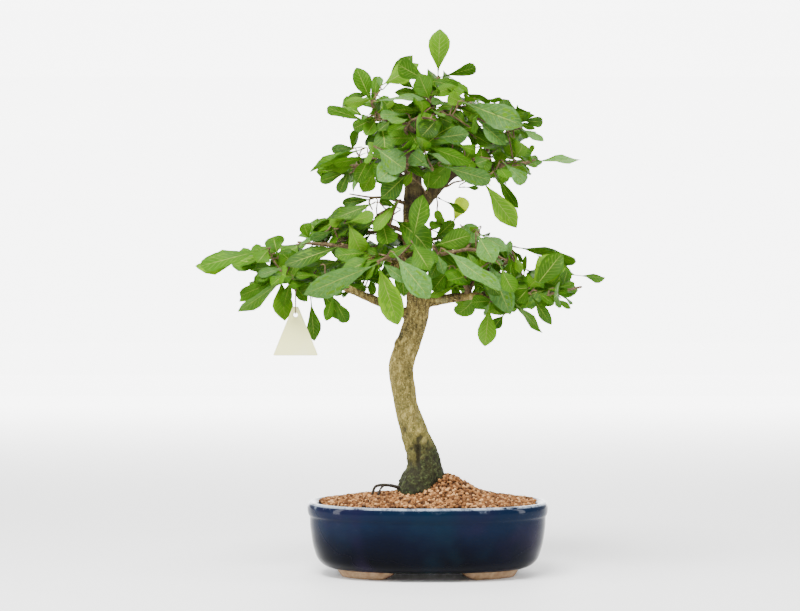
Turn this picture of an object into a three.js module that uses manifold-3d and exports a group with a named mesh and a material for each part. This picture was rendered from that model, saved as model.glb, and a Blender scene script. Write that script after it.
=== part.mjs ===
// Persimmon bonsai in a glazed oval pot, in millimetres, +Z up, seen from the front along +Y.
//
// The tree, the soil and the pot are laid out round the middle of the pot, on the table, and at the
// end everything is moved together so that the origin is the middle of the whole object's footprint.
// The wood carries leafy sprays: each spray is a stem with its twigs and leaves fused in one solid.

import * as THREE from "three";
import { mergeVertices } from "three/addons/utils/BufferGeometryUtils.js";
import Module from "manifold-3d";

const wasm = await Module();
wasm.setup();

// Driving sizes
const POT_HALF_LENGTH = 155;
const POT_HALF_DEPTH = 116;
const OVAL_POWER = 2.35; // 2 is an ellipse, more is squarer
const POT_SEGMENTS = 32;
const FLOOR_TOP = 19;
const UNDERSIDE = 9.5; // height of the pot's underside over the table
const DRAIN_X = 62;
const DRAIN_RADIUS = 9;
const GAP = 0.35; // between neighbours that touch on the real object
const SOIL_STEP = 12; // half the spacing of the soil's grains
const GRAIN_HEIGHT = 3;
const CLEARANCE = 8; // between the sample points of two leaves
const OWN_CLEARANCE = 3.5; // the same, of one spray
const SAMPLE_STEP = 7.5; // between a leaf's sample points
const STEM_ROOM = 2.4; // between a leaf and another's stem
const TRUNK_ROOM = 3;
const TAG_ROOM = 6;
const TRIES = 6; // ways in which a leaf is tried before it is left out
const FOLIAGE_SEED = 4000;
const STEM_SIDES = 4;
const TWIG_RADII = [1.9, 0.9]; // of the corners of its three-sided section, at its two ends
const STALK_RADIUS = 0.8;
const LEAF_LENGTH = 60;
const LEAST_WIDTH = 0.38; // of a leaf, as a share of its length
const SHOOT_RADIUS = 1.1; // of the shoot that carries a leaf set by eye, where it leaves its twig
const SHOOT_BEND = 0.8; // how much a shoot that turns back costs against a short one
const SHOOT_ROOM = 1.6; // how much nearer a shoot may come than a blade
const LEAST_SHOOT = 9;
const MOST_SHOOT = 90;
const RIB_DEPTH = 0.8; // of a leaf's midrib under its blade

// Colours as seen in daylight
const COLOURS = {
  glaze: 0x0d1b3a,
  soil: 0x9c5f3c,
  bark: 0x77684c,
  leaf: 0x4f8f1f,
  screen: 0x1b1d1a,
  tag: 0xf1ecd2,
  tie: 0x4a3a2c,
};

// The pot's wall as rows of how far in from the widest outline, and how high
const POT_OUTSIDE = [
  [34, UNDERSIDE],
  [20.5, 12.5],
  [12.5, 22],
  [6.8, 40],
  [3.4, 62],
  [3.2, 75],
  [0.4, 78],
  [0, 86],
  [4, 93],
];
const POT_INSIDE = [
  [10, 93.6],
  [13.5, 88],
  [17, 46],
  [30, FLOOR_TOP],
];

// The trunk's axis and radius, from the part that stands in the soil to the fork: x, y, z, radius
const TRUNK = [
  [-8, 2, 62, 24],
  [-9, 2, 86, 29],
  [-9, 2, 103, 33],
  [-8, 2, 115, 30],
  [-5, 1, 129, 25],
  [-5, 0, 143, 21.5],
  [-9, -1, 158, 19.6],
  [-20.4, -3, 194, 17],
  [-26.4, -3, 214, 15.8],
  [-33.4, -1, 256, 15.3],
  [-32.4, 1, 276, 15.5],
  [-26.4, 3, 294, 15.6],
  [-14.4, 3, 330, 16.2],
  [-12.4, 2, 350, 15.2],
  [-15, 2, 376, 13.6],
  [-19, 3, 406, 13.2],
  [-20, 4, 468, 12.4],
  [-18, 3, 496, 11.4],
  [-19, 1, 526, 10.2],
  [-24, 0, 552, 9],
  [-31, -1, 576, 7],
];

// The limbs that are bare of leaves, each from inside what it grows from: points, then the radii at its ends
const LIMBS = [
  {
    name: "low right",
    path: [[-10, 0, 346], [16, -4, 352], [36, -8, 355], [58, -12, 357], [82, -16, 354]],
    thick: [7.5, 4],
  },
  { name: "spur", path: [[50, -11, 356], [51, -11, 366], [45, -13, 375], [38, -15, 378]], thick: [4, 2.2] },
  { name: "front right", path: [[-16, -2, 402], [-2, -14, 404], [10, -24, 409]], thick: [5, 3] },
  {
    name: "high right",
    path: [[-18, 3, 462], [2, 4, 486], [18, 4, 504], [34, 2, 517], [50, 0, 522], [72, -2, 523]],
    thick: [10, 4.6],
  },
  {
    name: "low left",
    path: [[-14, 2, 326], [-36, -2, 338], [-59, -6, 348], [-82, -12, 358], [-106, -18, 368], [-130, -22, 375]],
    thick: [7, 4],
  },
  {
    name: "middle left",
    path: [[-17, 4, 402], [-36, -2, 405], [-57, -8, 408], [-78, -14, 409], [-102, -20, 420]],
    thick: [7, 4.4],
  },
  { name: "high left", path: [[-18, 3, 502], [-38, -4, 512], [-60, -10, 520]], thick: [6, 3.4] },
  { name: "front low", path: [[-18, 0, 394], [-24, -16, 399], [-32, -30, 403]], thick: [6, 4] },
  { name: "front high", path: [[-19, 0, 500], [-20, -14, 510], [-24, -28, 517]], thick: [5, 3.2] },
  { name: "back low", path: [[-15, 4, 388], [-10, 26, 398], [2, 50, 408]], thick: [7, 4] },
  { name: "back left", path: [[-20, 5, 426], [-34, 22, 434], [-52, 42, 441]], thick: [6, 3.6] },
  { name: "back high", path: [[-19, 4, 496], [-14, 24, 509], [-14, 44, 519]], thick: [5.6, 3.4] },
  {
    name: "leader",
    path: [[-27, 0, 556], [-17, 2, 576], [-5, 3, 593], [3, 4, 610], [8, 4, 624]],
    thick: [8, 3],
  },
  { name: "top left", path: [[-29, -1, 568], [-40, -3, 580], [-54, -6, 585]], thick: [5, 3] },
  {
    name: "dead twig",
    path: [[-22, 2, 474], [-46, -8, 482], [-60, -11, 484], [-74, -13, 484], [-100, -15, 488]],
    thick: [2.6, 0.9],
  },
  { name: "dead prong", path: [[-73, -13, 484], [-75, -14, 477], [-71, -14, 468]], thick: [1.3, 0.9] },
  {
    name: "bare twig",
    path: [[14, 4, 500], [24, -8, 498], [34, -14, 503], [46, -18, 505]],
    thick: [2, 0.9],
  },
  { name: "cut scar", path: [[-18, -4, 398], [-38, -12, 396], [-44, -15, 396]], thick: [7, 6] },
  {
    name: "surface root",
    path: [[-34, -6, 110], [-50, -9, 114], [-66, -11, 113], [-71, -12, 103], [-72, -12, 94]],
    thick: [2.4, 1.3],
  },
  { name: "root fork", path: [[-56, -10, 114], [-61, -16, 109], [-64, -19, 98]], thick: [1.5, 1.1] },
];

// The leafy sprays.
// stem: its points, from inside the wood. thick: the stem's radius at its two ends.
// twigs: where on the stem (0 to 1), then the twig's end x, y, z and its number of leaves by rule.
// leaves: the ones set by eye, each as it is seen from the front: its root's x and z, its tip's x and z,
// its depth y, its width as it is seen, and what it shows: 0 its upper side, 1 that with a bloom on it,
// 2 its underside, 3 a yellow upper side.
const SPRAYS = [
  {
    name: "low_right_end",
    stem: [[82, -16, 354], [108, -18, 352], [134, -16, 356], [160, -12, 361], [184, -8, 366], [198, -6, 369]],
    thick: [3.8, 1.4],
    twigs: [[0.06, 90, -44, 348, 1], [0.22, 112, 14, 376, 5], [0.36, 122, -46, 360, 1], [0.52, 146, 22, 376, 5],
      [0.66, 154, -36, 366, 1], [0.76, 172, 24, 372, 4], [0.84, 172, -30, 370, 1]],
    leaves: [[141, 377, 172, 411, -26, 36, 2], [183, 385, 229, 380, -10, 11, 0],
      [162, 362, 130, 367, -32, 10, 0], [114, 347, 149, 309, -38, 13, 0],
      [138, 352, 160, 320, -50, 15, 0], [80, 345, 74, 292, -56, 25, 2], [86, 358, 57, 349, -26, 19, 0],
      [80, 356, 101, 335, -40, 13, 0]],
  },
  {
    name: "low_right_front",
    stem: [[10, -24, 409], [30, -38, 413], [52, -46, 416], [76, -54, 412], [98, -60, 402]],
    thick: [2.8, 1.4],
    twigs: [[0.2, 12, -56, 410, 1], [0.45, 64, -30, 436, 1], [0.7, 90, -74, 396, 1], [0.85, 108, -40, 406, 1]],
    leaves: [[8, 422, 56, 436, -60, 28, 0], [44, 447, 61, 426, -48, 13, 1],
      [64, 438, 86, 400, -66, 30, 1], [30, 411, 95, 364, -88, 20, 1], [68, 384, 94, 358, -76, 18, 0],
      [82, 394, 107, 333, -64, 32, 1]],
  },
  {
    name: "low_right_rise",
    stem: [[50, -11, 355], [60, -6, 376], [76, 0, 390], [98, 4, 398], [114, 6, 408]],
    thick: [3, 1.4],
    twigs: [[0.35, 46, -26, 382, 1], [0.5, 56, 22, 404, 4], [0.7, 88, -22, 390, 1], [0.8, 106, 30, 410, 4],
      [0.9, 116, -20, 398, 1]],
    leaves: [[111, 421, 192, 401, -4, 12, 1], [66, 438, 104, 416, -42, 16, 1],
      [104, 412, 113, 380, -18, 15, 0], [124, 381, 127, 410, -22, 6, 0], [72, 402, 52, 378, -12, 20, 0],
      [28, 392, 6, 364, -24, 22, 0], [30, 368, 1, 356, -22, 12, 2], [33, 369, 45, 340, 12, 12, 2]],
  },
  {
    name: "low_right_back",
    stem: [[66, -13, 356], [80, 18, 364], [102, 50, 372], [124, 78, 374], [140, 98, 370]],
    thick: [3.6, 1.4],
    twigs: [[0.25, 56, 40, 376, 4], [0.55, 86, 82, 386, 5], [0.7, 148, 62, 384, 4], [1, 150, 112, 368, 3]],
    leaves: [],
  },
  {
    name: "front_low",
    stem: [[-32, -30, 403], [-42, -46, 406], [-52, -60, 405], [-64, -70, 400]],
    thick: [3.6, 1.5],
    twigs: [[0.2, -20, -58, 424, 0], [0.5, -74, -50, 412, 1], [0.3, -34, -62, 408, 0]],
    leaves: [[-66, 398, -160, 359, -92, 31, 1], [-64, 397, -38, 320, -80, 31, 2],
      [-58, 396, -24, 374, -66, 15, 1], [-40, 408, 3, 354, -86, 33, 1], [-20, 427, 3, 390, -76, 30, 0],
      [-24, 424, -50, 409, -48, 12, 0], [-19, 431, -6, 488, -66, 28, 0]],
  },
  {
    name: "low_left_end",
    stem: [[-130, -22, 375], [-150, -24, 378], [-169, -24, 380], [-184, -25, 385]],
    thick: [4, 2.6],
    twigs: [[1, -203, -27, 414, 0], [0.9, -190, 2, 388, 4], [0.75, -190, -42, 378, 0], [0.35, -144, 8, 390, 5],
      [0.95, -211, -32, 351, 0], [0.3, -150, -14, 356, 1]],
    leaves: [[-196, 413, -300, 396, -32, 25, 2], [-188, 400, -223, 392, -22, 15, 0],
      [-180, 396, -218, 384, -48, 13, 1], [-183, 384, -245, 337, -42, 17, 0],
      [-212, 378, -243, 350, -24, 15, 2], [-188, 366, -184, 325, 10, 27, 2],
      [-178, 372, -186, 343, -4, 15, 0], [-172, 372, -155, 350, 4, 16, 0],
      [-152, 352, -146, 299, -12, 19, 0]],
  },
  {
    name: "low_left_front",
    stem: [[-104, -18, 367], [-110, -38, 372], [-122, -56, 376], [-138, -70, 380]],
    thick: [3, 1.4],
    twigs: [[0.5, -100, -56, 374, 1], [0.35, -122, -36, 358, 1]],
    leaves: [[-126, 357, -131, 325, -44, 14, 0], [-120, 356, -104, 323, -38, 18, 0],
      [-140, 396, -166, 388, -54, 8, 0]],
  },
  {
    name: "low_left_back",
    stem: [[-80, -12, 357], [-90, 18, 366], [-108, 46, 374], [-130, 72, 376]],
    thick: [3.4, 1.4],
    twigs: [[0.3, -70, 42, 372, 4], [0.5, -128, 28, 382, 4], [0.7, -96, 78, 384, 5], [1, -152, 84, 372, 4]],
    leaves: [],
  },
  {
    name: "middle_left_end",
    stem: [[-102, -20, 420], [-122, -23, 422], [-146, -24, 424], [-166, -22, 426]],
    thick: [3.8, 1.4],
    twigs: [[0.12, -122, -26, 448, 1], [0.4, -138, 12, 430, 4], [0.8, -170, 7, 424, 3]],
    leaves: [[-118, 420, -185, 397, -50, 22, 0], [-98, 405, -155, 393, -22, 15, 0],
      [-104, 428, -112, 399, -8, 18, 2], [-118, 443, -152, 430, -50, 12, 1],
      [-140, 436, -168, 421, -38, 6, 1]],
  },
  {
    name: "middle_left_back",
    stem: [[-62, -9, 408], [-76, 20, 418], [-98, 46, 428], [-122, 66, 430]],
    thick: [3.2, 1.4],
    twigs: [[0.4, -52, 44, 426, 4], [0.55, -112, 26, 434, 4], [0.75, -90, 78, 434, 4], [1, -142, 78, 426, 3]],
    leaves: [],
  },
  {
    name: "middle_left_rise",
    stem: [[-22, 0, 436], [-44, -8, 446], [-66, -16, 452], [-86, -24, 456]],
    thick: [3, 1.4],
    twigs: [[0.4, -44, -30, 462, 1], [0.6, -66, 14, 462, 2], [1, -104, -30, 456, 1]],
    leaves: [[-82, 474, -126, 459, -24, 16, 0], [-106, 458, -148, 441, -16, 13, 0],
      [-104, 452, -69, 462, -52, 17, 2], [-99, 456, -85, 412, -40, 25, 2],
      [-60, 460, -51, 424, -50, 28, 0], [-38, 480, -70, 441, -32, 16, 2], [-36, 470, -62, 482, -16, 12, 0]],
  },
  {
    name: "back_low",
    stem: [[2, 50, 408], [16, 72, 414], [32, 94, 414], [46, 112, 408]],
    thick: [3.8, 1.4],
    twigs: [[0.15, -20, 72, 414, 4], [0.3, 46, 60, 418, 4], [0.55, 2, 104, 418, 4], [0.7, 68, 88, 416, 4],
      [1, 60, 126, 400, 3]],
    leaves: [],
  },
  {
    name: "back_left",
    stem: [[-52, 42, 441], [-70, 58, 442], [-88, 76, 440]],
    thick: [3.4, 1.5],
    twigs: [[0.2, -38, 62, 445, 4], [0.5, -96, 46, 447, 3], [0.8, -70, 94, 440, 4], [1, -112, 86, 434, 4]],
    leaves: [],
  },
  {
    name: "middle_right",
    stem: [[-10, 2, 438], [6, -6, 444], [20, -10, 448], [32, -10, 450]],
    thick: [2.2, 1.2],
    twigs: [[0.45, 12, -16, 470, 0]],
    leaves: [[32, 451, 48, 484, -12, 20, 3], [14, 484, 48, 464, -24, 8, 0]],
  },
  {
    name: "middle_right_back",
    stem: [[-14, 10, 424], [2, 28, 430], [22, 44, 434], [44, 54, 432]],
    thick: [3, 1.3],
    twigs: [[0.4, -12, 52, 436, 3], [0.7, 52, 32, 438, 4], [0.9, 34, 78, 436, 4], [1, 70, 62, 428, 3]],
    leaves: [],
  },
  {
    name: "high_right_end",
    stem: [[72, -2, 523], [98, -4, 526], [124, -6, 528], [138, -7, 532]],
    thick: [4.2, 1.4],
    twigs: [[0.15, 84, -32, 516, 1], [0.3, 96, 28, 534, 4], [0.55, 108, -28, 532, 1], [0.7, 122, 22, 538, 4]],
    leaves: [[135, 534, 198, 533, -8, 12, 1], [128, 529, 103, 551, -4, 18, 0],
      [98, 530, 126, 503, -50, 19, 1], [72, 504, 115, 445, -48, 27, 2], [94, 504, 117, 470, -32, 13, 0],
      [106, 566, 135, 528, -31, 10, 1]],
  },
  {
    name: "high_right_front",
    stem: [[42, 1, 520], [52, -24, 528], [64, -44, 532], [78, -58, 530]],
    thick: [3, 1.4],
    twigs: [[0.4, 28, -40, 536, 0], [0.7, 84, -38, 544, 1]],
    leaves: [[16, 526, 82, 506, -66, 22, 1], [62, 549, 106, 551, -34, 7, 0],
      [44, 540, 72, 528, -26, 14, 0]],
  },
  {
    name: "high_right_back",
    stem: [[56, 0, 522], [64, 28, 532], [76, 54, 540], [90, 76, 542]],
    thick: [3.4, 1.4],
    twigs: [[0.5, 92, 38, 550, 4], [0.7, 52, 74, 550, 4], [1, 104, 90, 538, 4]],
    leaves: [],
  },
  {
    name: "high_right_rise",
    stem: [[66, -1, 522], [76, 4, 544], [92, 6, 562], [112, 4, 574]],
    thick: [3, 1.3],
    twigs: [[0.4, 60, -22, 560, 1], [0.5, 96, 28, 566, 4], [0.75, 80, -28, 576, 1], [0.9, 120, -16, 572, 1],
      [1, 122, 18, 576, 2]],
    leaves: [[64, 586, 101, 552, -46, 22, 1], [118, 585, 149, 581, -10, 14, 0],
      [121, 571, 150, 557, -24, 10, 1], [52, 570, 80, 553, -22, 18, 0]],
  },
  {
    name: "high_left_end",
    stem: [[-60, -10, 520], [-86, -14, 524], [-110, -16, 522], [-130, -16, 519]],
    thick: [3.2, 1.2],
    twigs: [[0.2, -74, -34, 534, 1], [0.4, -92, 20, 532, 4], [0.3, -90, -30, 540, 0], [0.75, -118, 12, 522, 3]],
    leaves: [[-84, 547, -152, 517, -44, 12, 1], [-98, 546, -142, 522, -16, 20, 0],
      [-68, 541, -122, 528, -28, 14, 2], [-74, 530, -92, 503, -38, 20, 0],
      [-106, 517, -139, 505, -8, 13, 0], [-98, 520, -114, 490, -20, 15, 0],
      [-70, 516, -84, 491, -26, 22, 2]],
  },
  {
    name: "high_left_back",
    stem: [[-44, -5, 514], [-58, 22, 522], [-76, 46, 526], [-94, 60, 524]],
    thick: [3, 1.4],
    twigs: [[0.4, -36, 42, 532, 3], [0.55, -92, 30, 530, 4], [0.75, -70, 74, 530, 4], [1, -108, 70, 516, 4]],
    leaves: [],
  },
  {
    name: "high_front",
    stem: [[-24, -28, 517], [-28, -44, 526], [-30, -60, 532]],
    thick: [3, 1.6],
    twigs: [[0.4, -46, -56, 536, 0], [0.7, -4, -62, 538, 0], [0.2, -10, -36, 500, 0]],
    leaves: [[-67, 549, -29, 520, -88, 33, 1], [-38, 529, -64, 506, -74, 31, 1],
      [-34, 507, -60, 483, -60, 28, 0], [5, 521, -21, 541, -78, 24, 1], [-2, 541, 38, 531, -64, 14, 1],
      [-4, 552, 58, 528, -50, 20, 0], [-1, 491, 3, 518, -40, 16, 0]],
  },
  {
    name: "high_back",
    stem: [[-14, 44, 519], [-18, 62, 526], [-24, 82, 526]],
    thick: [3.2, 1.5],
    twigs: [[0.1, 12, 60, 532, 4], [0.4, -46, 70, 534, 4], [0.7, -2, 92, 532, 4], [1, -44, 98, 520, 4]],
    leaves: [],
  },
  {
    name: "top_left",
    stem: [[-54, -6, 585], [-64, -8, 590], [-70, -9, 600], [-73, -10, 610]],
    thick: [2.8, 1.4],
    twigs: [[0.9, -60, -14, 622, 0], [0.3, -80, 14, 588, 2], [0.15, -66, -20, 582, 0]],
    leaves: [[-72, 608, -92, 652, -14, 24, 0], [-70, 606, -65, 641, -4, 12, 0],
      [-74, 618, -103, 613, -6, 10, 0], [-74, 611, -108, 605, -24, 13, 2],
      [-80, 607, -110, 603, -14, 6, 1], [-79, 583, -130, 600, -20, 13, 0],
      [-62, 585, -80, 564, -28, 18, 0], [-54, 632, -11, 657, -20, 27, 2], [-64, 608, -4, 611, -46, 10, 1]],
  },
  {
    name: "top_front",
    stem: [[-24, 0, 560], [-26, -22, 572], [-20, -42, 580], [-6, -56, 582]],
    thick: [3, 1.4],
    twigs: [[0.5, -44, -38, 580, 0], [0.75, 4, -37, 597, 0], [1, 10, -64, 578, 0]],
    leaves: [[-24, 561, -52, 561, -56, 20, 0], [16, 586, -8, 563, -76, 28, 0],
      [12, 561, 54, 567, -64, 24, 1], [-12, 596, -44, 598, -32, 17, 0]],
  },
  {
    name: "top_right",
    stem: [[-6, 3, 592], [14, -14, 592], [36, -24, 600], [60, -30, 609]],
    thick: [2.4, 1.3],
    twigs: [[0.4, 30, -44, 586, 0], [0.6, 56, -6, 604, 1]],
    leaves: [[58, 603, 123, 577, -56, 34, 1], [42, 621, 81, 606, -12, 8, 0],
      [62, 613, 97, 609, -20, 7, 1], [52, 577, 32, 596, -42, 16, 0], [8, 600, 36, 603, -20, 11, 0]],
  },
  {
    name: "top_right_back",
    stem: [[-1, 4, 602], [20, 18, 608], [44, 30, 602], [66, 36, 588]],
    thick: [2.6, 1.3],
    twigs: [[0.35, 14, 44, 612, 3], [0.6, 56, 12, 602, 4], [1, 80, 52, 578, 4]],
    leaves: [],
  },
  {
    name: "top_back",
    stem: [[-26, 2, 562], [-26, 24, 576], [-22, 46, 586], [-16, 62, 586]],
    thick: [3.2, 1.4],
    twigs: [[0.4, -50, 36, 586, 4], [0.6, 6, 46, 588, 4], [0.85, -36, 74, 584, 4], [1, 2, 82, 574, 4]],
    leaves: [],
  },
  {
    name: "apex",
    stem: [[8, 4, 624], [12, 3, 634], [14, 2, 642]],
    thick: [2.6, 1.3],
    twigs: [[0.1, -10, -12, 630, 0], [0.3, 28, 10, 634, 2], [0.2, -8, 22, 632, 3]],
    leaves: [[13, 642, 16, 702, -4, 28, 2], [19, 640, 63, 652, -12, 15, 0],
      [4, 632, -38, 656, -34, 24, 0], [2, 612, -12, 645, -44, 26, 0], [2, 636, 40, 627, -20, 16, 0],
      [8, 618, 36, 628, -34, 16, 2], [-8, 618, -43, 620, -10, 14, 0]],
  },
];

// The eye that sees the tree from the front
const EYE = { x: -35.5, y: -2700, z: 345 };

// Where the leaves laid by rule may show from the front, and the chinks that the light comes through:
// x and z of an oval's middle, its half width and its half height
const CROWN = [
  [0, 630, 44, 20],
  [60, 594, 72, 26],
  [112, 572, 38, 22],
  [-6, 578, 50, 36],
  [-80, 592, 42, 26],
  [-78, 524, 72, 30],
  [-2, 528, 62, 32],
  [84, 526, 60, 28],
  [-200, 396, 56, 28],
  [-128, 382, 66, 28],
  [-106, 440, 58, 24],
  [-36, 410, 68, 42],
  [54, 402, 68, 38],
  [76, 352, 56, 26],
  [142, 378, 58, 36],
];
const CHINKS = [
  [-46, 599, 5, 8],
  [-84, 596, 13, 7],
  [-21, 632, 8, 7],
  [92, 537, 8, 8],
  [114, 546, 6, 7],
  [129, 549, 7, 9],
  [115, 565, 5, 4],
  [14, 516, 6, 11],
  [55, 476, 42, 27],
  [-68, 437, 12, 12],
  [-43, 447, 5, 17],
  [-139, 406, 19, 11],
  [-122, 430, 8, 6],
  [5, 437, 4, 12],
  [98, 390, 5, 10],
  [134, 398, 6, 13],
  [157, 378, 8, 7],
  [-77, 494, 36, 9],
];

// The tag hangs from the stem of the low left spray by a loop of wire
const TAG = {
  x: -169,
  y: -24,
  top: 343.5,
  bottom: 281,
  halfTop: 3.6,
  halfBottom: 29,
  thickness: 1.2,
  holeHeight: 333,
  holeRadius: 2.7,
};
const TIE_RADIUS = 0.65;
const TIE_TOP_RADIUS = 4.4; // of its middle line, round the stem that it hangs on
const TIE_HALF_WIDTH = 2.3; // of the loop beside the tag
const TIE_REACH = 40; // from the tag's top to over the stem

// Repeatable random numbers from 0 to 1
function seededDraw(seed) {
  let state = seed >>> 0;
  return () => {
    state = (Math.imul(state, 1664525) + 1013904223) >>> 0;
    return state / 4294967296;
  };
}

const vector = (p) => new THREE.Vector3(p[0], p[1], p[2]);
const UP = new THREE.Vector3(0, 0, 1);

// Point at t (0 to 1) on the smooth curve through the points, with equal shares of t for each stretch
function curvePoint(points, t) {
  const last = points.length - 1;
  if (last === 1) return points[0].clone().lerp(points[1], t);
  const at = Math.min(Math.max(t, 0), 1) * last;
  const i = Math.min(Math.floor(at), last - 1);
  const u = at - i;
  const b = points[i];
  const c = points[i + 1];
  const a = i > 0 ? points[i - 1] : b.clone().multiplyScalar(2).sub(c);
  const d = i + 2 <= last ? points[i + 2] : c.clone().multiplyScalar(2).sub(b);
  const weights = [
    -u + 2 * u * u - u * u * u,
    2 - 5 * u * u + 3 * u * u * u,
    u + 4 * u * u - 3 * u * u * u,
    -u * u + u * u * u,
  ];
  const p = new THREE.Vector3();
  [a, b, c, d].forEach((q, k) => p.addScaledVector(q, weights[k] / 2));
  return p;
}

// A geometry from rings of equally many points, with flat ends, or a point in place of the last end
function loft(rings, options = {}) {
  const n = rings[0].length;
  const points = rings.flat();
  const faces = [];
  const last = options.closed ? rings.length : rings.length - 1;
  for (let k = 0; k < last; k++) {
    const a = k * n;
    const b = ((k + 1) % rings.length) * n;
    for (let i = 0; i < n; i++) {
      const j = (i + 1) % n;
      faces.push(a + i, a + j, b + j, a + i, b + j, b + i);
    }
  }
  if (!options.closed) {
    for (let i = 1; i < n - 1; i++) faces.push(0, i + 1, i);
    const end = (rings.length - 1) * n;
    if (options.tip) {
      points.push(options.tip);
      for (let i = 0; i < n; i++) faces.push(end + i, end + ((i + 1) % n), points.length - 1);
    } else {
      for (let i = 1; i < n - 1; i++) faces.push(end, end + i, end + i + 1);
    }
  }
  const geometry = new THREE.BufferGeometry().setFromPoints(points);
  geometry.setIndex(faces);
  return geometry;
}

// The geometry as a solid for joining and cutting, turned to face outwards
function solid(geometry) {
  const bare = geometry.index ? geometry.toNonIndexed() : geometry.clone();
  bare.deleteAttribute("normal");
  bare.deleteAttribute("uv");
  const merged = mergeVertices(bare, 1e-4);
  const vertProperties = merged.attributes.position.array;
  const make = (triVerts) => new wasm.Manifold(new wasm.Mesh({ numProp: 3, vertProperties, triVerts }));
  const triangles = new Uint32Array(merged.index.array);
  const made = make(triangles);
  return made.volume() > 0 ? made : make(triangles.reverse());
}

const fuse = (solids) => wasm.Manifold.union(solids);

// The largest body of a solid, without any loose scrap
function largest(made) {
  return made.decompose().reduce((best, body) => (body.volume() > best.volume() ? body : best));
}

// A named mesh of one solid
function meshOf(name, made, colour, roughness = 0.7) {
  const data = made.getMesh();
  const position = new Float32Array(data.numVert * 3);
  for (let i = 0; i < data.numVert; i++) {
    position.set(data.vertProperties.subarray(i * data.numProp, i * data.numProp + 3), i * 3);
  }
  const geometry = new THREE.BufferGeometry();
  geometry.setAttribute("position", new THREE.BufferAttribute(position, 3));
  geometry.setIndex(new THREE.BufferAttribute(data.triVerts, 1));
  geometry.computeVertexNormals();
  const material = new THREE.MeshStandardMaterial({ color: colour, roughness, metalness: 0 });
  const mesh = new THREE.Mesh(geometry, material);
  mesh.name = name;
  return mesh;
}

// Rings square to a path. radiusAt(k, angle) gives the radius at ring k
function ringsAlong(points, sides, radiusAt, closed = false) {
  const n = points.length;
  const side = new THREE.Vector3();
  return points.map((p, k) => {
    const before = points[closed ? (k + n - 1) % n : Math.max(k - 1, 0)];
    const after = points[closed ? (k + 1) % n : Math.min(k + 1, n - 1)];
    const along = after.clone().sub(before).normalize();
    if (k === 0) side.set(...(Math.abs(along.x) < 0.9 ? [1, 0, 0] : [0, 1, 0]));
    side.addScaledVector(along, -side.dot(along)).normalize();
    const other = along.clone().cross(side);
    return Array.from({ length: sides }, (_, i) => {
      const angle = (2 * Math.PI * i) / sides;
      const r = radiusAt(k, angle);
      return p.clone().addScaledVector(side, r * Math.cos(angle)).addScaledVector(other, r * Math.sin(angle));
    });
  });
}

// A round stem through the points, its radius falling evenly from one end to the other
function stemSolid(points, thick, sides, steps, grow = 0) {
  const on = Array.from({ length: steps + 1 }, (_, k) => curvePoint(points, k / steps));
  const radius = (k) => thick[0] + ((thick[1] - thick[0]) * k) / steps + grow;
  if (grow) on[steps].addScaledVector(on[steps].clone().sub(on[steps - 1]).normalize(), grow);
  return solid(loft(ringsAlong(on, sides, radius)));
}

// Trunk: lobed above the roots, slightly uneven higher up
const LOBES = 3;
const TRUNK_SIDES = 10;
function trunkSolid(grow = 0) {
  const axis = TRUNK.map(vector);
  axis[0].z -= grow;
  const radius = (k, angle) => {
    const height = TRUNK[k][2];
    const root = Math.exp(-(((height - 106) / 26) ** 2));
    const lobe = 0.16 * root * Math.sin(LOBES * angle + 0.9) + 0.05 * root * Math.sin(5 * angle);
    const bump = 0.035 * Math.sin(2 * angle + height / 19) + 0.03 * Math.sin(3 * angle - height / 27);
    return TRUNK[k][3] * (1 + lobe + bump) + grow;
  };
  return solid(loft(ringsAlong(axis, TRUNK_SIDES, radius)));
}

const limbSides = (limb) => (limb.thick[0] > 4 ? 6 : limb.thick[0] > 2.5 ? 5 : 4);

function woodSolid(grow = 0) {
  const limbs = LIMBS.map((limb) =>
    stemSolid(limb.path.map(vector), limb.thick, limbSides(limb), limb.path.length - 1, grow),
  );
  return largest(fuse([trunkSolid(grow), ...limbs]));
}

// Leaves. A leaf runs from its root to its tip with its face along normal; s goes from 0 at the root to
// 1 at the tip and v from -1 to 1 across. It has no width along the stalk and the most past its middle:
// the more its form, the nearer to the tip.
const STALK = 0.1;
const TIP_FORM = 0.75;
function halfWidth(leaf, s) {
  const x = (s - STALK) / (1 - STALK);
  if (x <= 0 || x >= 1) return 0;
  const outline = (u) => u ** leaf.form * (1 - u) ** TIP_FORM;
  return ((leaf.width / 2) * outline(x)) / outline(leaf.form / (leaf.form + TIP_FORM));
}

// The directions across and out of the blade at s, which turn with its twist
function bladeFrame(leaf, s) {
  const angle = leaf.twist * (s - 0.5);
  const across = leaf.side.clone().applyAxisAngle(leaf.along, angle);
  return { across, out: leaf.normal.clone().applyAxisAngle(leaf.along, angle) };
}

function leafPoint(leaf, s, v) {
  const half = halfWidth(leaf, s);
  const bow = 4 * s * (1 - s) * leaf.length;
  const { across, out } = bladeFrame(leaf, s);
  const wave = leaf.wave * half * Math.sin(9 * s + leaf.phase + (v > 0 ? 1.3 : 0)) * v * v;
  return leaf.root
    .clone()
    .addScaledVector(leaf.along, leaf.length * s)
    .addScaledVector(leaf.side, leaf.sway * bow)
    .addScaledVector(leaf.normal, leaf.arch * bow)
    .addScaledVector(across, half * v)
    .addScaledVector(out, leaf.fold * half * Math.abs(v) + wave);
}

// The three-sided section of a stalk or twig at p, square to along, its corners as those of a leaf's
function stalkRing(leaf, p, along, radius) {
  const side = leaf.side.clone().addScaledVector(along, -leaf.side.dot(along)).normalize();
  const normal = side.clone().cross(along);
  const corner = (u, v) => p.clone().addScaledVector(side, u * radius).addScaledVector(normal, v * radius);
  return [corner(-0.87, 0.5), corner(0.87, 0.5), corner(0, -1)];
}

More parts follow.
